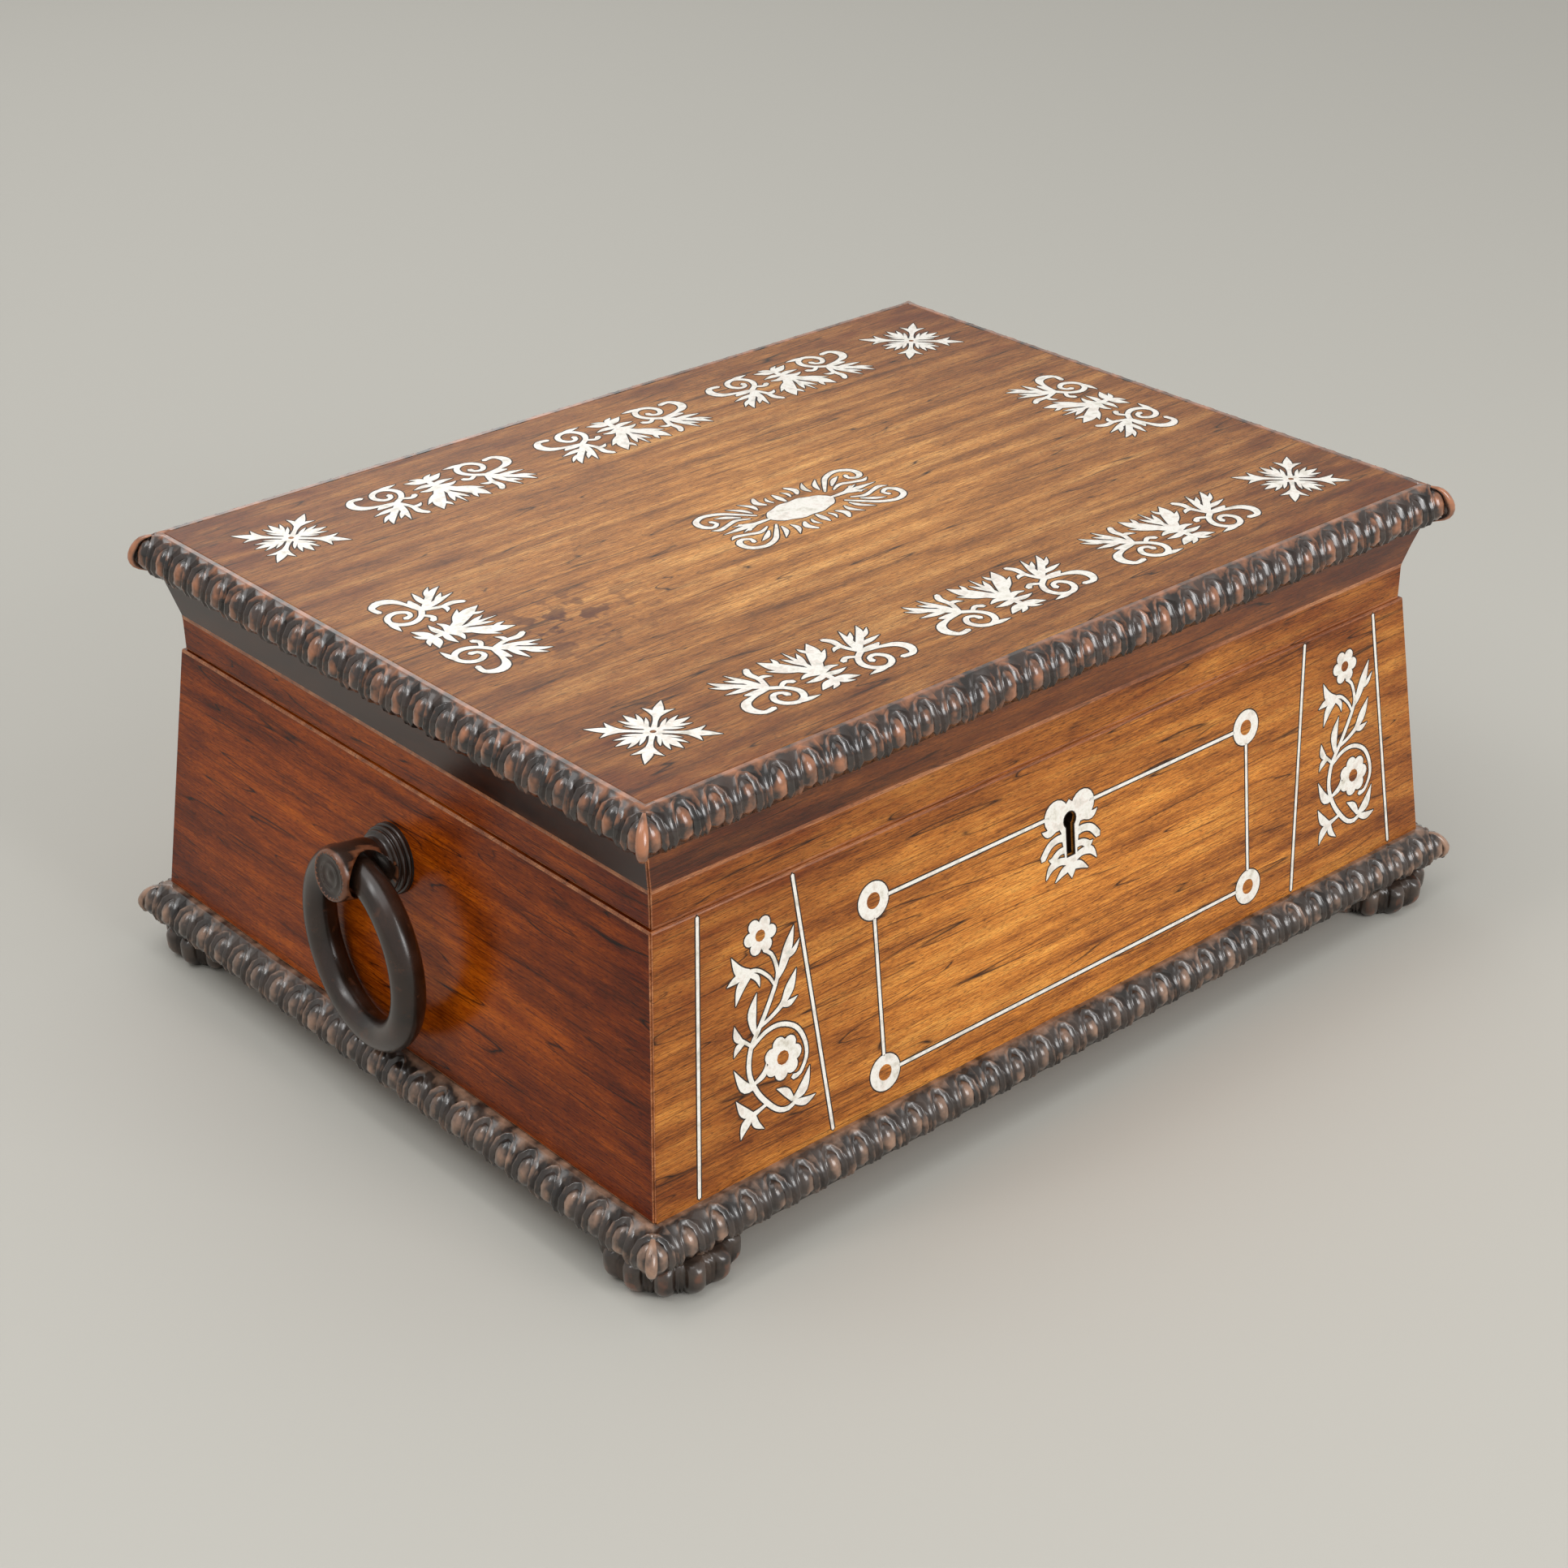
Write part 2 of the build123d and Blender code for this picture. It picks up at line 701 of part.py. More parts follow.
knuckle_half = hinge_width * knuckle_share / 2
case_tabs = [
    (-hinge_width / 2, -knuckle_half - knuckle_gap / 2),
    (knuckle_half + knuckle_gap / 2, hinge_width / 2),
]
lid_tabs = [(-knuckle_half + knuckle_gap / 2, knuckle_half - knuckle_gap / 2)]
for end, x in (("left", -hinge_place), ("right", hinge_place)):
    pieces.append(hinge_leaf("hinge_case_leaf_" + end, x, -1, case_tabs))
    pieces.append(hinge_leaf("hinge_lid_leaf_" + end, x, 1, lid_tabs))
    with BuildPart() as hinge_pin:
        with BuildSketch(Plane.YZ.offset(x - hinge_width / 2)):
            with Locations((hinge_y, rim_z)):
                Circle(hinge_pin_radius)
        extrude(amount=hinge_width)
    hinge_pin.part.label = "hinge_pin_" + end
    pieces.append(hinge_pin)

# Lid: the inlaid panel on four rails, each with an upright band below a splay
with BuildPart() as lid_top:
    with BuildSketch(Plane.XY.offset(panel_z)):
        Rectangle(panel_length, panel_width)
    extrude(amount=panel_thickness)
    add(inlay("pocket", top_face, draw_rosettes).part, mode=Mode.SUBTRACT)
    add(inlay("pocket", top_face, draw_scrolls).part, mode=Mode.SUBTRACT)
    add(inlay("pocket", top_face, draw_plaque).part, mode=Mode.SUBTRACT)
lid_top.part.label = "lid_top"

lid_section = [
    (lid_inner_reach, rim_z),
    (band_reach, rim_z),
    (band_reach, band_z),
    (splay_reach, splay_z),
    (0, splay_z),
    (0, panel_z),
    (lid_inner_reach, panel_z),
]
lid_left = mitred_rail("lid_left", "left", lid_section)
lid_right = mitred_rail("lid_right", "right", lid_section)
with BuildPart() as lid_front:
    add(mitred_rail("lid_front_rail", "front", lid_section).part)
    with BuildSketch(Plane.XY.offset(rim_z)):
        with Locations((0, lock_middle_y)):
            Rectangle(link_plate_length + 2 * lock_clearance, lock_thickness)
    extrude(amount=link_plate_thickness, mode=Mode.SUBTRACT)
lid_front.part.label = "lid_front"
with BuildPart() as lid_back:
    add(mitred_rail("lid_back_rail", "back", lid_section).part)
    with BuildSketch(Plane.XY.offset(rim_z)):
        with Locations(*[(x, hinge_y - hinge_leaf_depth - lock_clearance) for x in hinge_places]):
            Rectangle(
                hinge_width + 2 * lock_clearance,
                hinge_leaf_depth,
                align=(Align.CENTER, Align.MIN),
            )
    extrude(amount=hinge_leaf_thickness, mode=Mode.SUBTRACT)
lid_back.part.label = "lid_back"
pieces += [lid_top, lid_front, lid_back, lid_left, lid_right]

lid_pad_x = half_length + lid_inner_reach - soft_clearance
lid_pad_y = half_width + lid_inner_reach - soft_clearance
lid_pad_top_z = panel_z - soft_clearance
lid_pad = plain_box(
    "lid_pad",
    (-lid_pad_x, -lid_pad_y, lid_pad_top_z - lid_pad_thickness),
    (lid_pad_x, lid_pad_y, lid_pad_top_z),
)
pieces.append(lid_pad)

# Inlay of the top
pieces.append(inlay("top_rosettes", top_face, draw_rosettes))
pieces.append(inlay("top_scrolls", top_face, draw_scrolls))
pieces.append(inlay("top_oval", top_face, draw_oval))
with BuildPart() as top_cartouche:
    add(inlay("cartouche", top_face, draw_plaque).part)
    add(inlay("pocket", top_face, draw_oval).part, mode=Mode.SUBTRACT)
top_cartouche.part.label = "top_cartouche"
pieces.append(top_cartouche)

# Tray: a floor, four walls and four dividers, with a pincushion in the middle
tray_x = half_length + rim_inner_reach - tray_clearance
tray_y = half_width + rim_inner_reach - tray_clearance
tray_floor_z = tray_z + tray_floor_thickness
pieces.append(plain_box("tray_floor", (-tray_x, -tray_y, tray_z), (tray_x, tray_y, tray_floor_z)))
for end, sign in (("front", -1), ("back", 1)):
    edges = sorted((sign * tray_y, sign * (tray_y - tray_wall)))
    pieces.append(
        plain_box("tray_" + end, (-tray_x, edges[0], tray_floor_z), (tray_x, edges[1], tray_top_z))
    )
tray_inner_x = tray_x - tray_wall
tray_inner_y = tray_y - tray_wall
for end, sign in (("left", -1), ("right", 1)):
    edges = sorted((sign * tray_x, sign * tray_inner_x))
    pieces.append(
        plain_box(
            "tray_" + end, (edges[0], -tray_inner_y, tray_floor_z), (edges[1], tray_inner_y, tray_top_z)
        )
    )
    with BuildPart() as side_divider:
        with BuildSketch(Plane.YZ.offset(sign * side_divider_place - tray_wall / 2)):
            with Locations((0, (tray_floor_z + tray_top_z) / 2)):
                Rectangle(2 * tray_inner_y, tray_top_z - tray_floor_z)
            with Locations((0, tray_top_z)):
                Circle(finger_notch_radius, mode=Mode.SUBTRACT)
        extrude(amount=tray_wall)
    side_divider.part.label = "tray_divider_" + end
    pieces.append(side_divider)
cross_half = side_divider_place - tray_wall / 2
for face, sign in (("front", -1), ("back", 1)):
    y = sign * cross_divider_place
    pieces.append(
        plain_box(
            "tray_divider_" + face,
            (-cross_half, y - tray_wall / 2, tray_floor_z),
            (cross_half, y + tray_wall / 2, tray_top_z),
        )
    )

cushion_x = cross_half - soft_clearance
cushion_y = cross_divider_place - tray_wall / 2 - soft_clearance
cushion_z = tray_floor_z + soft_clearance
with BuildPart() as pincushion:
    with BuildSketch(Plane.XY.offset(cushion_z)):
        Rectangle(2 * cushion_x, 2 * cushion_y)
    extrude(amount=tray_top_z + pincushion_crown - cushion_z)
    chamfer(pincushion.faces().sort_by(Axis.Z)[-1].edges(), pincushion_bevel)
pincushion.part.label = "pincushion"
pieces.append(pincushion)

os.makedirs("parts", exist_ok=True)
for piece in pieces:
    export_step(piece.part, "parts/" + piece.part.label + ".step")
print(len(pieces), "pieces written")
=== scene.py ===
# %% [markdown]
# A sewing box of about 1825, veneered in rosewood and inlaid with mother of pearl.
# The joiner's work, every wall, rail, hinge and the lock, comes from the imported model.
# Here it gets what the carver, the turner, the inlay cutter and the polisher gave it.

# %% Load the box and keep its size
from math import atan2, copysign, cos, exp, hypot, pi, radians, sin, sqrt, tan

import bmesh
import bpy
from mathutils import Matrix, Vector
from mathutils.geometry import delaunay_2d_cdt


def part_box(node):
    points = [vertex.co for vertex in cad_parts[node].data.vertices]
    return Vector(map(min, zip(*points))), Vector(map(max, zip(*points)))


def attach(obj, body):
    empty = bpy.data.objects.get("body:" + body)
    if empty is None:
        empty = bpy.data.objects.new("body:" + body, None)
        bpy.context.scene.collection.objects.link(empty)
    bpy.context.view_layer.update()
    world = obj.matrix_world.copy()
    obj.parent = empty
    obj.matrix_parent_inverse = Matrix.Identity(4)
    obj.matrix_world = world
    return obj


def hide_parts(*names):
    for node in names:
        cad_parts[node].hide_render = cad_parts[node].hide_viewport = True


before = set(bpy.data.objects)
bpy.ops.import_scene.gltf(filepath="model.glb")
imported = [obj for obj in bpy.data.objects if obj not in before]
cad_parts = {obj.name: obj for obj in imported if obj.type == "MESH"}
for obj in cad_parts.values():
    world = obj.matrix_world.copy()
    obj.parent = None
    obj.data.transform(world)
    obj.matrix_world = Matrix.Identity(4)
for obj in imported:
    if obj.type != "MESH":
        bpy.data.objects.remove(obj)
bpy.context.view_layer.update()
MM = 0.001

# %% [markdown]
# All later sizes are read from the model. The inlaid panel gives the length, the width and
# the height of the top, and the case walls give the slope that the front inlay lies on.

# %% Read the sizes of the panel and the case
panel_low, panel_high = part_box("lid_top")
half_length = panel_high.x
half_width = panel_high.y
top_z = panel_high.z
case_low, case_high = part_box("case_front")
rim_z = case_high.z
case_z = case_low.z
splay_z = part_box("top_moulding_front")[0].z
base_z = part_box("base_moulding_front")[0].z
print("panel", round(2 * half_length, 4), "by", round(2 * half_width, 4), "top at", round(top_z, 4))

# %% [markdown]
# Colours are written as they look on a screen, as six hex digits, but a shader works in
# linear light. One function turns the one into the other. One more adds a node to a tree with
# its settings, its links and, on a colour ramp, its stops, so that a material reads as a list
# of its layers. A node may stand for the socket it gives its result on.

# %% Colour and node helpers


def linear(hex_colour):
    """An sRGB hex colour as the linear RGBA that a shader takes."""
    parts = [int(hex_colour[i:i + 2], 16) / 255 for i in (1, 3, 5)]
    return [p / 12.92 if p <= 0.04045 else ((p + 0.055) / 1.055) ** 2.4 for p in parts] + [1.0]


def plug(tree, node, inputs):
    """Gives each named input its value, or a link from a socket or from a node's live output."""
    for key, value in inputs.items():
        if isinstance(value, bpy.types.Node):
            value = next(output for output in value.outputs if output.enabled)
        if isinstance(value, bpy.types.NodeSocket):
            tree.links.new(value, node.inputs[key])
        else:
            node.inputs[key].default_value = value


def add_node(tree, kind, inputs=None, stops=(), **settings):
    """A new node with its settings, its inputs and its (position, hex colour) stops."""
    node = tree.nodes.new(kind)
    for name, value in settings.items():
        setattr(node, name, value)
    plug(tree, node, inputs or {})
    while stops and len(node.color_ramp.elements) < len(stops):
        node.color_ramp.elements.new(0.5)
    for place, (position, colour) in enumerate(stops):
        node.color_ramp.elements[place].position = position
        node.color_ramp.elements[place].color = linear(colour)
    return node


def new_material(name):
    """An empty material with a principled shader, as (material, tree, shader)."""
    material = bpy.data.materials.new(name)
    material.use_nodes = True
    tree = material.node_tree
    return material, tree, tree.nodes["Principled BSDF"]


print("a mid grey of #808080 is", round(linear("#808080")[0], 3), "in linear light")

# %% [markdown]
# Rosewood is sawn into veneers along the grain, so every mark on it is long and narrow: soft
# bands of colour, dark lines where the growth rings meet the face, and pores that the polish
# never fills. Each is noise that is stretched along the grain, to the length and the width of
# the real mark. A pore is really 0.1 mm wide, which would not show here, so the pores are
# drawn six times as coarse.

# %% Marks of the grain
wood_marks = {
    # Kind of mark: its length and width in metres, and its noise's detail and roughness.
    "bands": (400 * MM, 26 * MM, 4.0, 0.5),
    "fibres": (32 * MM, 1.5 * MM, 5.0, 0.6),
    "rings": (900 * MM, 55 * MM, 2.0, 0.4),
    "gaps": (300 * MM, 14 * MM, 3.0, 0.5),
    "hairs": (120 * MM, 1.6 * MM, 3.0, 0.5),
    "pores": (9 * MM, 0.6 * MM, 3.0, 0.5),
    # Blotches that break up the painted shade towards the edges of each face.
    "shade_blotches": (110 * MM, 35 * MM, 3.0, 0.5),
}


def stretched(tree, along, length, width):
    """Object coordinates squeezed so that one unit is a mark's length and width in metres."""
    places = add_node(tree, "ShaderNodeTexCoord").outputs["Object"]
    size = {"X": (length, width, width), "Y": (width, length, width)}[along]
    scale = tuple(1 / s for s in size)
    return add_node(tree, "ShaderNodeMapping", {"Vector": places, "Scale": scale})


def marked(tree, under, colour, pattern, stops):
    """A colour over the one under it, as strong as the grey that the stops give a pattern."""
    amount = add_node(tree, "ShaderNodeValToRGB", {"Fac": pattern}, stops)
    inputs = {0: amount, 6: under, 7: linear(colour)}
    return add_node(tree, "ShaderNodeMix", inputs, data_type="RGBA")


print("kinds of marks", list(wood_marks))

# %% [markdown]
# The growth rings show as contour lines: a smooth noise is multiplied by the number of rings
# and folded back and forth, and a thin dark line is drawn wherever it comes to zero. Each face
# is left lighter at its middle as painted light, and painted shade darkens it in blotches towards its
# edges.

# %% Rosewood veneer
ring_count = 17.0
shade_blotches_share = 1.5


def rosewood(name, along, colours, middle, reach, roughness, shine):
    """French polished rosewood with its grain along X or Y, with painted light at its middle.

    The colours are light, mid and dark wood and the streaks in it. The painted light fills an
    ellipsoid of that middle and reach, in metres, and painted shade darkens the colour outside it.
    """
    light, mid, dark, streak = colours
    material, tree, shader = new_material(name)
    marks = {}
    for kind, (length, width, detail, rough) in wood_marks.items():
        inputs = {"Vector": stretched(tree, along, length, width), "Detail": detail, "Roughness": rough}
        marks[kind] = add_node(tree, "ShaderNodeTexNoise", inputs)
    mixed = add_node(tree, "ShaderNodeMix", {0: 0.5, 2: marks["bands"], 3: marks["fibres"]})
    wood = ((0.36, dark), (0.5, mid), (0.62, light))
    ground = add_node(tree, "ShaderNodeValToRGB", {"Fac": mixed}, wood)

    steps = add_node(tree, "ShaderNodeMath", {0: marks["rings"], 1: ring_count}, operation="MULTIPLY")
    contour = add_node(tree, "ShaderNodeMath", {0: steps, 1: 1.0}, operation="PINGPONG")
    thin = ((0.0, "#ffffff"), (0.07, "#606060"), (0.2, "#000000"))
    line = add_node(tree, "ShaderNodeValToRGB", {"Fac": contour}, thin)
    broken = ((0.36, "#202020"), (0.54, "#ffffff"))
    present = add_node(tree, "ShaderNodeValToRGB", {"Fac": marks["gaps"]}, broken)
    line_here = add_node(tree, "ShaderNodeMath", {0: line, 1: present}, operation="MULTIPLY")
    lined = {0: line_here, 6: ground, 7: linear(streak)}
    colour = add_node(tree, "ShaderNodeMix", lined, data_type="RGBA")
    colour = marked(tree, colour, streak, marks["hairs"], ((0.56, "#000000"), (0.66, "#b8b8b8")))
    colour = marked(tree, colour, streak, marks["pores"], ((0.53, "#000000"), (0.64, "#dcdcdc")))

    # Painted light and shade: the colour darkens away from the middle, in blotches.
    places = add_node(tree, "ShaderNodeTexCoord").outputs["Object"]
    shift = tuple(-m / r for m, r in zip(middle, reach))
    scale = tuple(1 / r for r in reach)
    moved = {"Vector": places, "Scale": scale, "Location": shift}
    from_middle = add_node(tree, "ShaderNodeMapping", moved)
    away = add_node(tree, "ShaderNodeVectorMath", {0: from_middle}, operation="LENGTH")
    blotched_distance = {0: marks["shade_blotches"], 1: shade_blotches_share, 2: away}
    painted_shade_amount = add_node(tree, "ShaderNodeMath", blotched_distance, operation="MULTIPLY_ADD")
    outwards = {"Value": painted_shade_amount, "From Min": 0.9, "From Max": 2.2, "To Max": 0.9}
    shade = add_node(tree, "ShaderNodeMapRange", outwards)
    darkened = {0: shade, 6: colour, 7: linear("#84583e")}
    colour = add_node(tree, "ShaderNodeMix", darkened, data_type="RGBA", blend_type="MULTIPLY")
    open_pores = {"Strength": 0.12, "Distance": 0.2 * MM, "Height": marks["pores"]}
    bump = add_node(tree, "ShaderNodeBump", open_pores)
    plug(tree, shader, {
        "Base Color": colour, "Roughness": roughness, "Specular IOR Level": shine, "Normal": bump,
    })
    return material


print("folds of the ring noise", ring_count)

# %% [markdown]
# Six veneers were cut from different boards, each of its own colour, and the splays' two are
# painted darker as painted shade. The polish is thin and old: it gives a soft shine, sharpest on
# the ends, which hands carry.

# %% The box's rosewoods
case_middle = (rim_z + case_z) / 2
box_middle = (0, 0, 0)
flat_reach = (half_length, half_width, 1.0)
# Bleached by the sun to a honey brown, with the ring lines standing out dark.
top_wood = rosewood(
    "rosewood_veneer_top", "X", ("#e6ab62", "#c4823e", "#84542a", "#281c15"),
    box_middle, flat_reach, 0.4, 0.4,
)
# Warm orange brown, with a painted pool of light at its middle and painted shade towards its edges.
front_wood = rosewood(
    "rosewood_veneer_front", "X", ("#f6ac50", "#da8836", "#8c4c1c", "#28130b"),
    (0.01, -half_width, case_middle - 0.01), (half_length, 1.0, 0.058), 0.32, 0.3,
)
# Deep red brown with a smooth, dim shine.
side_wood = rosewood(
    "rosewood_veneer_side", "Y", ("#c8620c", "#a04606", "#672904", "#240e06"),
    (0, 0.01, case_middle), (1.0, half_width, 0.06), 0.2, 0.18,
)
# The splays face the floor, so their colours are painted darker as painted shade, the ends' darkest.
shaded_splay_wood = rosewood(
    "rosewood_splay", "X", ("#c47833", "#a05c26", "#603216", "#1c0f0a"),
    box_middle, flat_reach, 0.3, 0.4,
)
shaded_splay_side_wood = rosewood(
    "rosewood_splay_side", "Y", ("#6b3a1c", "#4d2712", "#331809", "#190d08"),
    box_middle, flat_reach, 0.22, 0.35,
)
# Polish rubbed off the arrises: a thin paler line round every board.
worn_wood = rosewood(
    "rosewood_worn_arris", "X", ("#c98a5c", "#a8653c", "#743e24", "#3c2014"),
    box_middle, (1, 1, 1), 0.3, 0.5,
)
print("rosewoods", [m.name for m in bpy.data.materials if m.name.startswith("rosewood")])

# %% [markdown]
# The top has stood near a fire or a candle: a few small scorch marks lie left of the middle.
# They belong to this one veneer, so they are mixed over its colour inside an oval region.

# %% Scorch marks on the top
scorch_x, scorch_y = -0.102, -0.016
scorch_reach, scorch_heart = 0.044, 0.004
oval_stretch = 1.6
top_tree = top_wood.node_tree
top_shader = top_tree.nodes["Principled BSDF"]
top_colour = top_shader.inputs["Base Color"].links[0].from_socket
places = add_node(top_tree, "ShaderNodeTexCoord").outputs["Object"]
squeeze = {0: places, 1: (1.0, oval_stretch, 0.0)}
flat_places = add_node(top_tree, "ShaderNodeVectorMath", squeeze, operation="MULTIPLY")
centre = {0: flat_places, 1: (scorch_x, scorch_y * oval_stretch, 0.0)}
away = add_node(top_tree, "ShaderNodeVectorMath", centre, operation="DISTANCE")
inwards = {"Value": away, "From Min": scorch_reach, "From Max": scorch_heart}
near = add_node(top_tree, "ShaderNodeMapRange", inwards)
blots = add_node(top_tree, "ShaderNodeTexNoise", {"Vector": places, "Scale": 150.0, "Detail": 3.0})
spots = ((0.52, "#000000"), (0.58, "#f0f0f0"))
spotted = add_node(top_tree, "ShaderNodeValToRGB", {"Fac": blots}, spots)
scorched = add_node(top_tree, "ShaderNodeMath", {0: spotted, 1: near}, operation="MULTIPLY")
burnt = {0: scorched, 6: top_colour, 7: linear("#451a0e")}
plug(top_tree, top_shader, {"Base Color": add_node(top_tree, "ShaderNodeMix", burnt, data_type="RGBA")})
print("scorch marks round", (scorch_x, scorch_y))

# %% [markdown]
# The carved mouldings were stained almost black to look like ebony. A hundred and ninety
# years of dusting have rubbed the stain off wherever the carving stands highest, and the
# copper brown wood shows there; that lighter colour on the crests is also a painted highlight.
# The carving below writes a value named rub on its points, for the wear and the highlight.

# %% Carved, stained wood


def carved_wood(name, dark, dust, rubbed, roughness, polish):
    """Stained carving, lighter where the attribute rub is high: worn through, and painted highlight."""
    material, tree, shader = new_material(name)
    places = add_node(tree, "ShaderNodeTexCoord").outputs["Object"]
    cloud = add_node(tree, "ShaderNodeTexNoise", {"Vector": places, "Scale": 120.0, "Detail": 4.0})
    stain = add_node(tree, "ShaderNodeValToRGB", {"Fac": cloud}, ((0.35, dark), (0.68, dust)))
    rub = add_node(tree, "ShaderNodeAttribute", attribute_name="rub").outputs["Fac"]
    patch = add_node(tree, "ShaderNodeTexNoise", {"Vector": places, "Scale": 210.0, "Detail": 3.0})
    uneven = add_node(tree, "ShaderNodeMath", {0: patch, 1: 0.5}, operation="SUBTRACT")
    worn = add_node(tree, "ShaderNodeMath", {0: uneven, 1: 1.8, 2: rub}, operation="MULTIPLY_ADD")
    colour = marked(tree, stain, rubbed, worn, ((0.32, "#000000"), (0.95, "#e6e6e6")))
    bump = add_node(tree, "ShaderNodeBump", {"Strength": 0.25, "Distance": 0.3 * MM, "Height": cloud})
    plug(tree, shader, {
        "Base Color": colour, "Roughness": roughness, "Normal": bump,
        "Coat Weight": polish, "Coat Roughness": 0.16,
    })
    return material


# Waxed for two centuries: glossy black with copper brown crests, worn and partly painted highlight.
top_carving = carved_wood("carved_ebonised_wood_top", "#17100d", "#44342d", "#bc7a54", 0.24, 0.8)
# Nearer the table, so dustier, and its crests are painted greyer: wear, and partly painted highlight.
base_carving = carved_wood("carved_ebonised_wood_base", "#1c1512", "#4a3d36", "#b08a72", 0.28, 0.7)
# Kicked and scuffed: brown black, and the dullest of the carvings.
foot_carving = carved_wood("carved_ebonised_wood_feet", "#221914", "#5a4a40", "#8a4f34", 0.3, 0.5)
# Smooth from the lathe and from hands, with almost no wax on it: black with a soft glow.
turned_wood = carved_wood("turned_ebonised_wood", "#1c120b", "#33221a", "#7a4a30", 0.26, 0.15)
print("carved woods", len([m for m in bpy.data.materials if "ebonised" in m.name]))

# %% [markdown]
# Mother of pearl is shell, sawn thin and ground flat. It is white with a faint wandering
# pink and green, and it shines like the polish around it. Each leaf was let into a pocket
# a little too wide for it, and the dark glue that fills the gap draws a line round it.

# %% Pearl and glue
pearl, tree, shader = new_material("mother_of_pearl")
places = add_node(tree, "ShaderNodeTexCoord").outputs["Object"]
shell = {"Vector": places, "Scale": 240.0, "Detail": 5.0, "Roughness": 0.65}
layers = add_node(tree, "ShaderNodeTexNoise", shell)
pink_to_green = (
    (0.3, "#c9c2b4"), (0.42, "#e8e4da"), (0.5, "#f2efe8"), (0.58, "#e6dcd2"), (0.7, "#c6c8bf"),
)
sheen = add_node(tree, "ShaderNodeValToRGB", {"Fac": layers}, pink_to_green)
plug(tree, shader, {
    "Base Color": sheen, "Roughness": 0.28, "Coat Weight": 0.4, "Coat Roughness": 0.1,
})

glue, tree, shader = new_material("dark_hide_glue")
crumbs = add_node(tree, "ShaderNodeTexNoise", {"Scale": 900.0, "Detail": 2.0})
crumbly = add_node(tree, "ShaderNodeValToRGB", {"Fac": crumbs}, ((0.4, "#160d09"), (0.6, "#2e1c12")))
plug(tree, shader, {"Base Color": crumbly, "Roughness": 0.5})
print("pearl and glue", pearl.name, glue.name)

# %% [markdown]
# The hinges and the lock are brass, cast and filed, under a lacquer that has gone brown in
# patches. Their pins and the bolt are steel, filed bright once and greyed since. Both give
# the eye a dim, cloudy shine. A metal keeps the usual IOR.

# %% Brass and steel
metals = {}
for name, bright, dull, roughness in (
    ("old_lacquered_brass", "#c79a4b", "#8a6530", 0.34),
    ("filed_steel", "#8d8a86", "#5f5b57", 0.38),
):
    metals[name], tree, shader = new_material(name)
    patches = add_node(tree, "ShaderNodeTexNoise", {"Scale": 160.0, "Detail": 4.0})
    dulled = add_node(tree, "ShaderNodeValToRGB", {"Fac": patches}, ((0.38, dull), (0.62, bright)))
    plug(tree, shader, {"Base Color": dulled, "Metallic": 1.0, "Roughness": roughness})
brass, steel = metals["old_lacquered_brass"], metals["filed_steel"]
print("metals", list(metals))

# %% [markdown]
# The linings and the tray are planed cedar, waxed and never polished: pale red brown with a
# soft straight grain, and hardly any shine. Grain 1.6 mm wide runs along each board.

# %% Cedar
cedar = {}
for along in ("X", "Y"):
    cedar[along], tree, shader = new_material("waxed_cedar_along_" + along.lower())
    lines = {"Vector": stretched(tree, along, 120 * MM, 1.6 * MM), "Detail": 4.0}
    grain = add_node(tree, "ShaderNodeTexNoise", lines)
    tones = ((0.35, "#8c5330"), (0.5, "#a76b40"), (0.66, "#bd8453"))
    colour = add_node(tree, "ShaderNodeValToRGB", {"Fac": grain}, tones)
    bump = add_node(tree, "ShaderNodeBump", {"Strength": 0.15, "Distance": 0.2 * MM, "Height": grain})
    plug(tree, shader, {"Base Color": colour, "Roughness": 0.48, "Normal": bump})
print("cedar along", list(cedar))

# %% [markdown]
# The padded pieces are covered in plain woven silk of a faded wine red. Its threads lie
# about 0.35 mm apart and catch the light along the folds, which the sheen gives it.

# %% Silk
silk, tree, shader = new_material("woven_silk")
thread_gap = 0.35 * MM
places = add_node(tree, "ShaderNodeTexCoord").outputs["Object"]
per_thread = {"Vector": places, "Scale": (1 / thread_gap,) * 3}
weave_place = add_node(tree, "ShaderNodeMapping", per_thread)
threads = {"Vector": weave_place, "Scale": 0.3, "Distortion": 1.5}
weave = add_node(tree, "ShaderNodeTexWave", threads).outputs["Fac"]
fade = add_node(tree, "ShaderNodeTexNoise", {"Vector": places, "Scale": 22.0, "Detail": 3.0})
colour = add_node(tree, "ShaderNodeValToRGB", {"Fac": fade}, ((0.35, "#7a2330"), (0.65, "#973942")))
bump = add_node(tree, "ShaderNodeBump", {"Strength": 0.2, "Distance": 0.1 * MM, "Height": weave})
plug(tree, shader, {"Base Color": colour, "Roughness": 0.55, "Sheen Weight": 0.5, "Normal": bump})
print("materials", len(bpy.data.materials))

# %% [markdown]
# A joiner never leaves an edge knife sharp: the arris is eased with a stroke of abrasive,
# and that small flat catches the light as a thin bright line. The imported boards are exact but
# sharp, so each outer board is copied, its loose triangles are joined, and a bevel of less
# than a millimetre goes on the edges that a hand would touch.

# %% Tools of the joiner


def in_scene(name, mesh):
    """A new object of a mesh, linked to the scene."""
    piece = bpy.data.objects.new(name, mesh)
    bpy.context.scene.collection.objects.link(piece)
    return piece


def joined_copy(node_name, piece_name, *finishes):
    """A CAD node's mesh as a new object: doubles merged and flat triangles dissolved."""
    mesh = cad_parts[node_name].data.copy()
    mesh.materials.clear()
    for finish in finishes:
        mesh.materials.append(finish)
    work = bmesh.new()
    work.from_mesh(mesh)
    bmesh.ops.remove_doubles(work, verts=work.verts, dist=0.002 * MM)
    bmesh.ops.dissolve_limit(work, angle_limit=radians(0.3), verts=work.verts, edges=work.edges)
    work.to_mesh(mesh)
    work.free()
    return in_scene(piece_name, mesh)


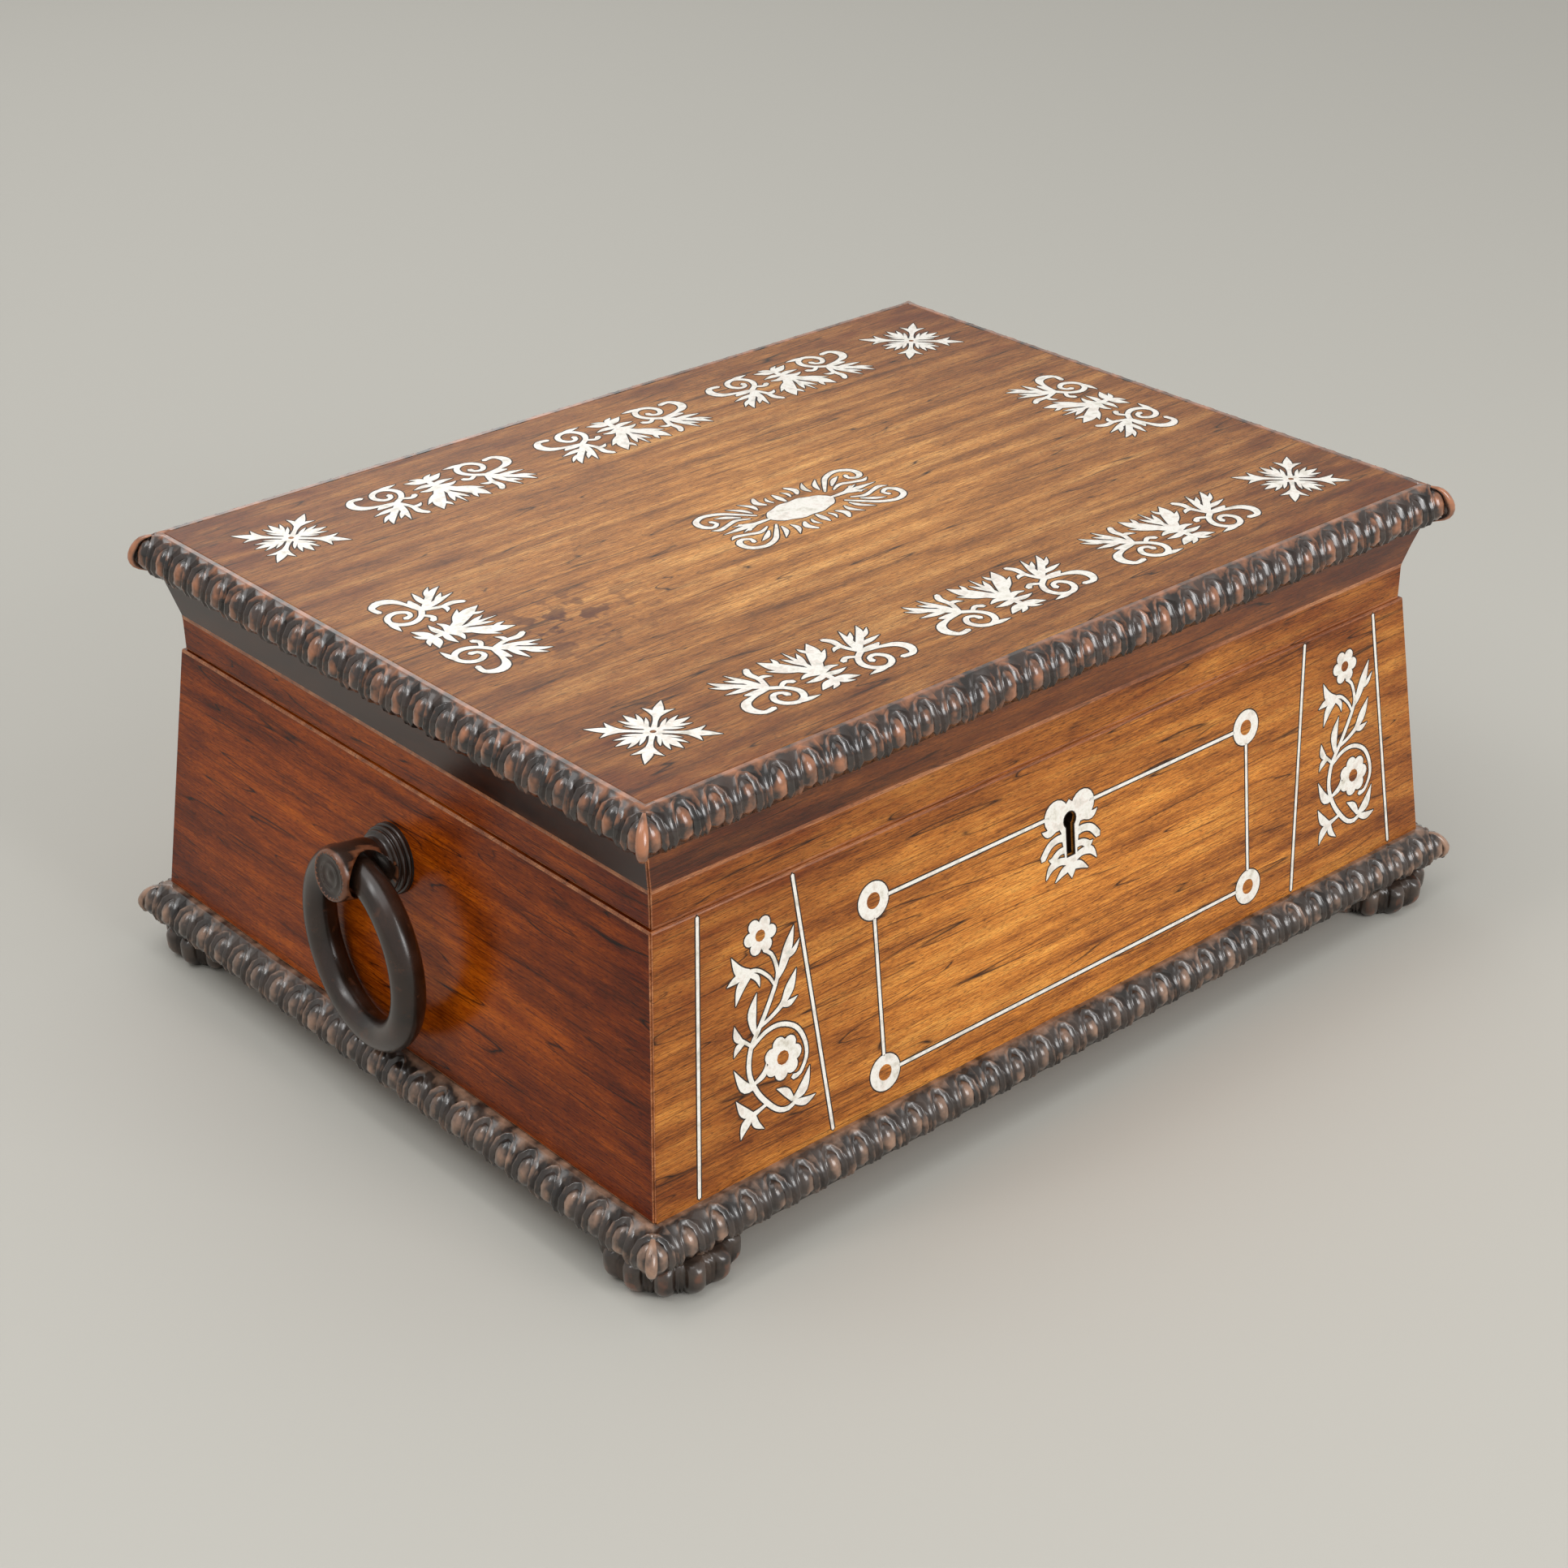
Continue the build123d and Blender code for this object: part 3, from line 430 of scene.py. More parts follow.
def ease_edges(piece, wanted, width, finish=-1):
    """Bevels the edges whose two ends the function wanted accepts; finish is their slot."""
    work = bmesh.new()
    work.from_mesh(piece.data)
    edges = [e for e in work.edges if wanted(e.verts[0].co, e.verts[1].co)]
    bmesh.ops.bevel(
        work, geom=edges, offset=width, segments=2, profile=0.5, affect="EDGES",
        clamp_overlap=True, material=finish,
    )
    work.to_mesh(piece.data)
    work.free()
    return len(edges)


def settle(piece, body, slot_name, *nodes):
    """The piece rides a body and stands for the nodes it was made for; slot_name is not used."""
    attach(piece, body)
    if nodes:
        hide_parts(*nodes)


rim_reach = -1.0 * MM
foot_reach = -case_low.y - half_width


def wall_reach(z):
    """How far the case's outer face stands out past the panel's edge at a height."""
    return rim_reach + (rim_z - z) / (rim_z - case_z) * (foot_reach - rim_reach)


print("walls lean out by", round((foot_reach - rim_reach) / MM, 1), "mm from rim to foot")

# %% [markdown]
# Only some edges are eased: the upright corners of the case and its rim, and not the edges of
# the pockets for the hinges and the lock, which a joiner leaves crisp.

# %% Case walls with eased edges
skin_reach = 0.2 * MM
same_place = 0.02 * MM
arris = 0.7 * MM


def past_panel(co):
    """How far a point stands out past the panel's edge."""
    return max(abs(co.x) - half_length, abs(co.y) - half_width)


def on_corner(co):
    """True for a point of a mitre, which is as far past the one edge as past the other."""
    return abs(abs(co.x) - half_length - abs(co.y) + half_width) < same_place


def case_arris(a, b):
    """The upright corners and the rim of the case, but no edge of a pocket."""
    on_skin = all(abs(past_panel(co) - wall_reach(co.z)) < skin_reach for co in (a, b))
    at_rim = min(a.z, b.z) > rim_z - 0.01 * MM
    return on_skin and (at_rim or on_corner(a) and on_corner(b))


walls = {"front": front_wood, "back": front_wood, "left": side_wood, "right": side_wood}
for side, wood in walls.items():
    wall = joined_copy("case_" + side, "case_wall_" + side, wood, worn_wood)
    eased = ease_edges(wall, case_arris, arris, finish=1)
    settle(wall, "case", "rosewood", "case_" + side)
    print("case wall", side, "eased edges", eased)

# %% [markdown]
# A lid rail is one piece of wood with two faces on show: an upright band, which lines up
# with the case, and above it a splay that leans out to carry the carved moulding. Their
# veneers were laid separately, and the splay, which faces the floor, is painted darker as painted
# shade.

# %% Lid rails
band_z = min(v.co.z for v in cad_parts["lid_front"].data.vertices if v.co.z > rim_z + 5 * MM)
inner_edge = -3.5 * MM


def lid_arris(a, b):
    """The outer edges of a lid rail: its rim, its band's top and its upright corners."""
    outer = min(past_panel(a), past_panel(b)) > inner_edge
    level = abs(a.z - b.z) < 0.01 * MM
    upright = on_corner(a) and on_corner(b)
    return outer and a.z < splay_z - 0.1 * MM and (level or upright)


for side, wood in walls.items():
    # The splays take the darker woods, which are painted shade.
    splay = shaded_splay_wood if side in ("front", "back") else shaded_splay_side_wood
    rail = joined_copy("lid_" + side, "lid_rail_" + side, wood, splay, worn_wood)
    for face in rail.data.polygons:
        if face.center.z > band_z + 0.2 * MM and face.normal.z < -0.05:
            face.material_index = 1
    eased = ease_edges(rail, lid_arris, arris, finish=2)
    settle(rail, "lid", "rosewood", "lid_" + side)
    print("lid rail", side, "eased edges", eased)

# %% [markdown]
# The panel is a plain board here: its pockets lie under the pearl and nobody sees them. It
# lies a twentieth of a millimetre low, because shell is harder than wood and stands proud of
# it after two centuries of polishing.

# %% The panel
pearl_stands = 0.06 * MM
panel = in_scene("inlaid_panel", bpy.data.meshes.new("inlaid_panel"))
work = bmesh.new()
bmesh.ops.create_cube(work, size=1.0)
for vert in work.verts:
    vert.co.x *= 2 * half_length
    vert.co.y *= 2 * half_width
    vert.co.z = panel_low.z if vert.co.z < 0 else top_z - pearl_stands
work.to_mesh(panel.data)
work.free()
ease_edges(panel, lambda a, b: min(a.z, b.z) > panel_low.z + MM, 0.5 * MM)
panel.data.materials.append(top_wood)
settle(panel, "lid", "rosewood", "lid_top")
print("panel", [round(c, 4) for c in panel.dimensions])

# %% [markdown]
# The mouldings are carved with gadroons: a row of eggs, each under an arch that wraps its
# upper end and runs down both its sides, and a thin dart between one arch and the next. The
# carver cut the same ten millimetres over two hundred times, so one unit is modelled here and
# set out in a row. A formula says how deep the cut is at each place of the unit.

# %% The height of the carving
gadroon_depth = 1.7 * MM
edge_rub, crest_wear_and_highlight = 0.6, 0.62
# Reaches along the unit and down the section, and half widths, as shares of each.
egg_reach, egg_middle = (0.24, 0.38), 0.5
arch_reach, arch_half, arch_height, arch_foot = (0.35, 0.43), 0.16, 0.95, 0.46
dart_half, dart_height, dart_start = 0.07, 0.8, 0.08
bead_reach, bead_middle, bead_height = (0.12, 0.055), 0.94, 0.8
land = 0.03


def hill(distance, width):
    """A round ridge: 1 on its crest and 0 a width away from it."""
    share = min(abs(distance) / width, 1.0)
    return sqrt(1 - share * share)


def carving(u, v):
    """Cut depth, and wear with painted highlight, at u along a unit, -0.5 to 0.5, and v down its
    section.
    """
    from_border = abs(u) - 0.5
    egg = hill(hypot(u / egg_reach[0], (v - egg_middle) / egg_reach[1]), 1.0)
    ring = hypot(u / arch_reach[0], min(v - arch_foot, 0.0) / arch_reach[1])
    arch = arch_height * hill(ring - 1, arch_half)
    dart = dart_height * hill(from_border, dart_half) * min(1.0, 8 * max(0.0, v - dart_start))
    from_bead = hypot(from_border / bead_reach[0], (v - bead_middle) / bead_reach[1])
    bead = bead_height * hill(from_bead, 1.0)
    height = max(egg, arch, dart, bead)
    edge = min(1.0, v / land, (1 - v) / land)
    # Lighter crests: wear, and partly a painted highlight.
    rub = crest_wear_and_highlight * (egg if egg > 0.1 else max(arch, dart, bead) ** 3)
    return (1 - height) * gadroon_depth * edge, rub if v > 0 else edge_rub


print("cut beside an egg", round(carving(0.26, 0.6)[0] / MM, 2), "mm deep")

# %% [markdown]
# The section runs from the flat land beside the panel, round the crown and back under.
# A smooth curve through a handful of measured points gives as many rows as are asked for.

# %% Sections of the two mouldings


def smooth_row(points, count):
    """Count points spaced evenly along a smooth curve through the given ones."""
    fine = []
    ends = [points[0]] + points + [points[-1]]
    for i in range(1, len(ends) - 2):
        p0, p1, p2, p3 = (Vector(ends[i + k]) for k in (-1, 0, 1, 2))
        for step in range(16):
            t = step / 16
            fine.append(
                0.5 * (2 * p1 + (p2 - p0) * t + (2 * p0 - 5 * p1 + 4 * p2 - p3) * t * t
                       + (3 * p1 - p0 - 3 * p2 + p3) * t ** 3)
            )
    fine.append(Vector(points[-1]))
    lengths = [0.0]
    for a, b in zip(fine, fine[1:]):
        lengths.append(lengths[-1] + (b - a).length)
    row = []
    j = 0
    for i in range(count):
        goal = lengths[-1] * i / (count - 1)
        while j < len(lengths) - 2 and lengths[j + 1] < goal:
            j += 1
        share = (goal - lengths[j]) / max(lengths[j + 1] - lengths[j], 1e-12)
        row.append(fine[j].lerp(fine[j + 1], share))
    return row


top_height = top_z - splay_z
top_reach = -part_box("top_moulding_front")[0].y - half_width
top_section = [
    (1.4 * MM, top_z),
    (0.69 * top_reach, top_z - 0.14 * top_height),
    (top_reach, top_z - 0.55 * top_height),
    (0.91 * top_reach, top_z - 0.86 * top_height),
    (3.4 * MM, splay_z),
]
base_height = case_z - base_z
base_back = 5.0 * MM
base_reach = -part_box("base_moulding_front")[0].y - half_width
base_section = [
    (base_back + 3.7 * MM, case_z),
    (base_back + 0.74 * (base_reach - base_back), case_z - 0.13 * base_height),
    (base_reach, case_z - 0.5 * base_height),
    (base_back + 0.93 * (base_reach - base_back), case_z - 0.84 * base_height),
    (base_back + 0.64 * (base_reach - base_back), base_z),
]
print("crowns reach", round(top_reach / MM, 1), "and", round(base_reach / MM, 1), "mm past the panel")

# %% [markdown]
# From here on most pieces are points and faces worked out by a rule. One function makes an
# object of them, turns the faces outwards, and shades the small ones smooth, so that a round
# piece looks round and its flat ends stay flat.

# %% Pieces from points and faces


def write_back(work, mesh, smooth_to=4):
    """Turns faces outwards, smooths those with few corners, and writes them to the mesh."""
    bmesh.ops.recalc_face_normals(work, faces=work.faces)
    for face in work.faces:
        face.smooth = len(face.verts) <= smooth_to
    work.to_mesh(mesh)
    work.free()


def new_piece(name, verts, faces=(), smooth_to=4, **values):
    """An object of points and faces; each named list of values is kept on the points."""
    mesh = bpy.data.meshes.new(name)
    mesh.from_pydata(verts, [], list(faces))
    for label, numbers in values.items():
        mesh.attributes.new(label, "FLOAT", "POINT").data.foreach_set("value", numbers)
    work = bmesh.new()
    work.from_mesh(mesh)
    write_back(work, mesh, smooth_to)
    return in_scene(name, mesh)


trial = new_piece("trial", [(0, 0, 0), (1, 0, 0), (0, 1, 0)], [(0, 1, 2)])
print("a trial face is smooth:", trial.data.polygons[0].use_smooth)
bpy.data.objects.remove(trial)

# %% [markdown]
# The unit comes over two hundred times, so it may have only a few dozen faces, and each of
# them has to tell. A square grid would need many to draw a round arch. This mesh follows the
# carving instead: its stations run up one side of the egg, over the arch and down the other
# side, and at each one a row of points lies on the egg, in the groove, on the arch and on
# the dart. A point stands on every crest and in every groove, and smooth shading does the rest.

# %% One gadroon, laid out like the chisel cuts
# How far each ring of points stands out from the egg's middle: beside it, and above it.
rings = (
    (0.0, 0.0), (0.11, 0.19), (0.2, 0.3), (0.26, 0.366), (0.32, 0.405), (0.375, 0.435), (0.43, 0.452)
)
leg_rows = (1.0, 0.94, 0.82, 0.64)
arch_turns = (180, 150, 122, 90, 58, 30, 0)
border_rise = 0.42
crown_steps = 40


def unit_stations():
    """Rows of (u, v) places, each from the egg's middle out to the unit's border."""
    left = [[(-u, v) for u, _ in rings] + [(-0.5, v)] for v in leg_rows]
    over = []
    for turn in arch_turns:
        way = radians(turn)
        row = [(u * cos(way), arch_foot - rise * sin(way)) for u, rise in rings]
        border = 0.0 if turn == 90 else copysign(0.5, cos(way))
        over.append(row + [(border, max(0.0, arch_foot - border_rise * abs(tan(way))))])
    return left + over + [[(-u, v) for u, v in row] for row in reversed(left)]


def gadroon_unit(name, section, back, pitch):
    """One carved unit along X: its carved face, its flat top and bottom, and its back."""
    crown = smooth_row(section, crown_steps + 1)
    verts, rubs, faces, index = [], [], [], {}

    def carved(u, v):
        """The number of the point at u and v, made when it is first asked for."""
        key = (round(u, 4) + 0.0, round(v, 4))
        if key not in index:
            at = min(int(v * crown_steps), crown_steps - 1)
            ahead = crown[at + 1] - crown[at]
            normal = Vector((-ahead.y, ahead.x)).normalized()
            depth, rub = carving(u, v)
            place = crown[at] + ahead * (v * crown_steps - at) - normal * depth
            index[key] = len(verts)
            verts.append((u * pitch, -place.x, place.y))
            rubs.append(rub)
        return index[key]

    rows = [[carved(u, v) for u, v in row] for row in unit_stations()]
    for one, other in zip(rows, rows[1:]):
        for j in range(len(one) - 1):
            face = tuple(dict.fromkeys((one[j], one[j + 1], other[j + 1], other[j])))
            if len(face) > 2:
                faces.append(face)
    for edge_v, height in ((0.0, section[0][1]), (1.0, section[-1][1])):
        edge = sorted((u, number) for (u, v), number in index.items() if v == edge_v)
        verts += [(0.5 * pitch, -back, height), (-0.5 * pitch, -back, height)]
        rubs += [edge_rub, edge_rub]
        faces.append(tuple(number for _, number in edge) + (len(verts) - 2, len(verts) - 1))
    last = len(verts)
    faces.append((last - 4, last - 3, last - 1, last - 2))
    return new_piece(name, verts, faces, rub=rubs)


trial = gadroon_unit("trial", top_section, 0.0, 0.01)
print("faces of one gadroon", len(trial.data.polygons))
bpy.data.objects.remove(trial)

# %% [markdown]
# Geometry Nodes set the unit out: a mesh line gives the places, Instance on Points puts a
# unit on each, Realize Instances makes them real faces, and Merge by Distance welds each
# unit to the next. The count and the pitch are inputs of the tree, so all eight rails use it.

# %% The tree that sets units out in a row
weld_reach = 0.02 * MM


def new_tree(name, **inputs):
    """A geometry tree with named inputs, as (tree, input node, output node)."""
    tree = bpy.data.node_groups.new(name, "GeometryNodeTree")
    tree.interface.new_socket("Geometry", in_out="INPUT", socket_type="NodeSocketGeometry")
    for label, kind in inputs.items():
        tree.interface.new_socket(label, in_out="INPUT", socket_type="NodeSocket" + kind)
    tree.interface.new_socket("Geometry", in_out="OUTPUT", socket_type="NodeSocketGeometry")
    return tree, add_node(tree, "NodeGroupInput"), add_node(tree, "NodeGroupOutput")


def finish_tree(tree, group_in, group_out, placed, weld=0.0):
    """Makes the instances real, welds them if asked to, and gives them the tree's finish."""
    real = add_node(tree, "GeometryNodeRealizeInstances", {"Geometry": placed})
    if weld:
        real = add_node(tree, "GeometryNodeMergeByDistance", {"Geometry": real, "Distance": weld})
    wanted = {"Geometry": real, "Material": group_in.outputs["Finish"]}
    plug(tree, group_out, {"Geometry": add_node(tree, "GeometryNodeSetMaterial", wanted)})


row_tree, row_in, row_out = new_tree("set_out_in_a_row", Count="Int", Pitch="Float", Finish="Material")
count, pitch = row_in.outputs["Count"], row_in.outputs["Pitch"]
half_row = {0: count, 1: -0.5, 2: 0.5}
start = add_node(row_tree, "ShaderNodeMath", half_row, operation="MULTIPLY_ADD")
first = add_node(row_tree, "ShaderNodeMath", {0: start, 1: pitch}, operation="MULTIPLY")
first_place = add_node(row_tree, "ShaderNodeCombineXYZ", {"X": first})
step = add_node(row_tree, "ShaderNodeCombineXYZ", {"X": pitch})
evenly = {"Count": count, "Start Location": first_place, "Offset": step}
line = add_node(row_tree, "GeometryNodeMeshLine", evenly)
on_line = {"Points": line, "Instance": row_in.outputs["Geometry"]}
in_row = add_node(row_tree, "GeometryNodeInstanceOnPoints", on_line)
finish_tree(row_tree, row_in, row_out, in_row, weld_reach)


def grown(host, tree, name, **values):
    """Runs a tree on a host object and returns what it grows as a new plain mesh object."""
    modifier = host.modifiers.new("grow", "NODES")
    modifier.node_group = tree
    for item in tree.interface.items_tree:
        if item.in_out == "INPUT" and item.name in values:
            modifier[item.identifier] = values[item.name]
    bpy.context.view_layer.update()
    evaluated = host.evaluated_get(bpy.context.evaluated_depsgraph_get())
    mesh = bpy.data.meshes.new_from_object(evaluated)
    mesh.name = name
    bpy.data.objects.remove(host)
    return in_scene(name, mesh)


print("inputs of the row", [item.name for item in row_tree.interface.items_tree])

# %% [markdown]
# At the corners the rails meet in a mitre, a cut at forty five degrees. Each row is made
# longer than its side and then cut by the two mitre planes, and the cut ends are closed.

# %% Eight carved rails
gadroon_pitch = 10.1 * MM
turns = {"front": 0, "right": 90, "back": 180, "left": 270}


def carved_rail(kind, side, section, back, reach, finish):
    """The carved moulding of one side, cut to its mitres and turned into place."""
    across, along = half_width, half_length
    if side in ("left", "right"):
        across, along = along, across
    count = round(2 * (along + reach) / gadroon_pitch)
    pitch = 2 * (along + reach) / count
    unit = gadroon_unit("gadroon_" + kind + "_" + side, section, back, pitch)
    name = kind + "_carving_" + side
    rail = grown(unit, row_tree, name, Count=count + 2, Pitch=pitch, Finish=finish)
    work = bmesh.new()
    work.from_mesh(rail.data)
    for sign in (-1, 1):
        cut = bmesh.ops.bisect_plane(
            work,
            geom=work.verts[:] + work.edges[:] + work.faces[:],
            plane_co=(sign * along, 0, 0),
            plane_no=(sign, 1, 0),
            clear_outer=True,
        )
        rim = [e for e in cut["geom_cut"] if isinstance(e, bmesh.types.BMEdge)]
        bmesh.ops.holes_fill(work, edges=rim, sides=0)
    into_place = Matrix.Rotation(radians(turns[side]), 4, "Z") @ Matrix.Translation((0, -across, 0))
    bmesh.ops.transform(work, matrix=into_place, verts=work.verts)
    write_back(work, rail.data)
    return rail, count


for side in turns:
    rail, above = carved_rail("top", side, top_section, 0.0, top_reach, top_carving)
    settle(rail, "lid", "carved_rosewood", "top_moulding_" + side)
    rail, below = carved_rail("base", side, base_section, base_back, base_reach, base_carving)
    settle(rail, "case", "carved_rosewood", "base_moulding_" + side)
    print(side, "gadroons", above, "above and", below, "below")

# %% [markdown]
# Leaves, feet, beads and inlay are repeated too, each at a few places of its own. A second
# tree puts a template on the points of a host mesh, and turns it by their attribute "turn".

# %% The tree that sets copies out on points
place_tree, place_in, place_out = new_tree("set_out_on_points", Template="Object", Finish="Material")
template = add_node(
    place_tree, "GeometryNodeObjectInfo", {"Object": place_in.outputs["Template"]}
).outputs["Geometry"]
turn_here = add_node(
    place_tree, "GeometryNodeInputNamedAttribute", {"Name": "turn"}, data_type="FLOAT"
).outputs["Attribute"]
upright = add_node(place_tree, "ShaderNodeCombineXYZ", {"Z": turn_here})
rotation = add_node(place_tree, "FunctionNodeEulerToRotation", {"Euler": upright})
at_points = {"Points": place_in.outputs["Geometry"], "Instance": template, "Rotation": rotation}
placed = add_node(place_tree, "GeometryNodeInstanceOnPoints", at_points)
finish_tree(place_tree, place_in, place_out, placed)


def set_out(template_object, places, name, finish):
    """Copies of an object at (x, y, turn in degrees) places, as one mesh with one finish."""
    points = [(x, y, 0.0) for x, y, _ in places]
    host = new_piece("places_host", points, turn=[radians(turn) for _, _, turn in places])
    return grown(host, place_tree, name, Template=template_object, Finish=finish)


print("inputs of the places", [item.name for item in place_tree.interface.items_tree])

# %% [markdown]
# Leaves, feet, rings and bosses are all a skin over rows of points, each row a loop round the
# piece. One function lays the faces between neighbouring rows and closes the two ends.

# %% A skin over rows of points


def skin(name, rows, closed=False, smooth_to=4, **values):
    """A piece from loops of points; its last loop joins its first if it is closed."""
    sides = len(rows[0])
    faces = []
    for row in range(len(rows) if closed else len(rows) - 1):
        near, far = row * sides, (row + 1) % len(rows) * sides
        for side in range(sides):
            beside = (side + 1) % sides
            faces.append((near + side, near + beside, far + beside, far + side))
    if not closed:
        faces.append(tuple(range(sides)))
        faces.append(tuple(range((len(rows) - 1) * sides, len(rows) * sides)))
    points = [point for loop in rows for point in loop]
    return new_piece(name, points, faces, smooth_to, **values)


trial = skin("trial", [[(cos(k), sin(k), z) for k in range(6)] for z in (0, 1)])
print("a skin of two loops of six points has", len(trial.data.polygons), "faces")
bpy.data.objects.remove(trial)

# %% [markdown]
# Each mitre would show as a seam through the carving, so the carver hid it under a leaf that
# stands on the corner and is larger than the eggs. It is rubbed more than anything else.

# %% Leaves over the mitres
leaf_rows = 14
leaf_sides = 12
leaf_width = 3.4 * MM
leaf_flatness = 0.62
slanted = sqrt(0.5)


def corner_leaf(name, section, sunk):
    """A spindle that follows the section along the diagonal of the corner, sunk in it a little."""
    spine = smooth_row(section, leaf_rows)
    rows, rubs = [], []
    for row, point in enumerate(spine):
        t = row / (leaf_rows - 1)
        radius = leaf_width / 2 * max(0.08, sin(pi * t)) ** 0.75
        ahead = spine[min(row + 1, leaf_rows - 1)] - spine[max(row - 1, 0)]
        normal = Vector((-ahead.y, ahead.x)).normalized()
        loop = []
        for side in range(leaf_sides):
            turn = 2 * pi * side / leaf_sides
            out = point - normal * (sunk - leaf_flatness * radius * cos(turn))
            across = radius * sin(turn) * slanted
            loop.append((out.x + across, -(out.x - across), out.y))
            rubs.append(0.85 if cos(turn) > -0.2 else 0.3)
        rows.append(loop)
    return skin(name, rows, smooth_to=leaf_sides, rub=rubs)


corners = [
    (half_length, -half_width, 0), (half_length, half_width, 90),
    (-half_length, half_width, 180), (-half_length, -half_width, 270),
]
for kind, section, sunk, body, finish in (
    ("top", top_section, 0.6 * MM, "lid", top_carving),
    ("base", base_section, 1.4 * MM, "case", base_carving),
):
    leaf = corner_leaf("leaf", section, sunk)
    leaves = set_out(leaf, corners, kind + "_corner_leaves", finish)
    settle(leaves, body, "carved_rosewood")
    bpy.data.objects.remove(leaf)
print("corner leaves", 2 * len(corners))

# %% [markdown]
# The feet are squat turned buns, carved with twelve lobes. Between two lobes stand two thin
# ridges with a groove between them, and the lobes draw in at the sole. As with the mouldings,
# one formula gives the depth of the cut all round.

# %% Carved feet
foot_low, foot_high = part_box("foot_front_left")
foot_radius = (foot_high.x - foot_low.x) / 2 + 0.8 * MM
foot_height = foot_high.z
foot_lobes = 12
foot_steps = foot_lobes * 16
foot_rows = 12
# Half widths and places are shares of a lobe, from one crest to the next.
lobe_half, lobe_depth = 0.35, 3.2 * MM
ridge_place, ridge_half, ridge_height = 0.43, 0.055, 0.62
sole_round = 2.6 * MM
shoulder_round = 2.4 * MM
rubbed_lobes = (3, 6, 10)


def foot_mesh(name):
    """One lobed foot standing on the origin."""
    rows, rubs = [], []
    for row in range(foot_rows + 1):
        t = row / foot_rows
        belly = foot_radius * (0.93 + 0.07 * sin(pi * min(1.0, 0.3 + 0.6 * t)))
        belly -= sole_round * (max(0.0, t - 0.6) / 0.4) ** 2
        belly -= shoulder_round * (max(0.0, 0.25 - t) / 0.25) ** 2
        loop = []
        for step in range(foot_steps):
            turn = foot_lobes * step / foot_steps
            from_crest = abs(turn - round(turn))
            ridge = ridge_height * hill(from_crest - ridge_place, ridge_half)
            height = max(hill(from_crest, lobe_half), ridge)
            radius = belly - lobe_depth * (1 - height) * min(1.0, 0.6 + 1.6 * t)
            angle = 2 * pi * step / foot_steps
            loop.append((radius * cos(angle), radius * sin(angle), foot_height * (1 - t)))
            worn = round(turn) % foot_lobes in rubbed_lobes and from_crest < 0.25 and t > 0.5
            rubs.append(0.7 if worn else 0.3 * (height > 0.9))
        rows.append(loop)
    return skin(name, rows, rub=rubs)


feet = ["foot_front_left", "foot_front_right", "foot_back_left", "foot_back_right"]
foot_places = []
for k, name in enumerate(feet):
    low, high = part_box(name)
    foot_places.append(((low.x + high.x) / 2, (low.y + high.y) / 2, 15 + 90 * k))
foot = foot_mesh("foot")
carved_feet = set_out(foot, foot_places, "carved_feet", foot_carving)
bpy.data.objects.remove(foot)
settle(carved_feet, "case", "carved_rosewood", *feet)
print("feet", len(foot_places), "radius", round(foot_radius / MM, 1), "mm")

# %% [markdown]
# Each handle is a turned ring that hangs through the eye of a turned boss. A lathe makes
# both: a section is revolved about an axis. The boss has three reeds at the wall, a barrel
# with the eye bored through it and flared by the ring's wear, and a flat end inside a row of
# small beads.

# %% The lathe and the section of a boss
boss_sides = 72
eye_sides = 48


def turned(name, section, sides, closed=False):
    """Revolves (along, radius) points in millimetres about Z."""
    rows = [
        [
            (r * MM * cos(2 * pi * side / sides), r * MM * sin(2 * pi * side / sides), z * MM)
            for side in range(sides)
        ]
        for z, r in section
    ]
    return skin(name, rows, closed, rub=[0.0] * (len(rows) * sides))


def stood(place, axis):
    """The matrix that stands a piece made along Z on a place, along an axis."""
    return Matrix.Translation(place) @ axis.to_track_quat("Z", "Y").to_matrix().to_4x4()


boss_section = [(0.0, 10.3)]
for middle, reed_radius in ((0.95, 10.3), (2.55, 9.9), (4.0, 9.0)):
    for k in range(7):
        swing = pi * k / 6
        boss_section.append((middle - 0.72 * cos(swing), reed_radius - 0.85 + 0.85 * sin(swing)))
boss_section += [
    (5.0, 7.5), (5.6, 7.2), (6.6, 7.4), (8.2, 7.85), (10.2, 8.1), (12.4, 8.15), (15.0, 8.1),
    (17.4, 7.95), (19.2, 7.75), (20.3, 7.5), (20.8, 7.2), (20.95, 6.9), (20.9, 6.2), (20.55, 6.0),
    (20.5, 4.2), (20.75, 3.9), (20.75, 3.4), (20.45, 3.1), (20.5, 1.6), (20.8, 0.9), (20.85, 0.3),
]
half_eye = [(5.8, 7.08), (7.2, 7.3), (8.4, 7.9), (12.0, 9.4)]
eye_section = [(-z, r) for z, r in reversed(half_eye)] + half_eye
print("points in a boss's section", len(boss_section), "in an eye's", len(eye_section))

# %% [markdown]
# A boss stands square on the sloping end of the case. Its eye is bored with a Boolean, which
# is removed once its result is kept. The ring's wear has rubbed the eye and the outer rim.

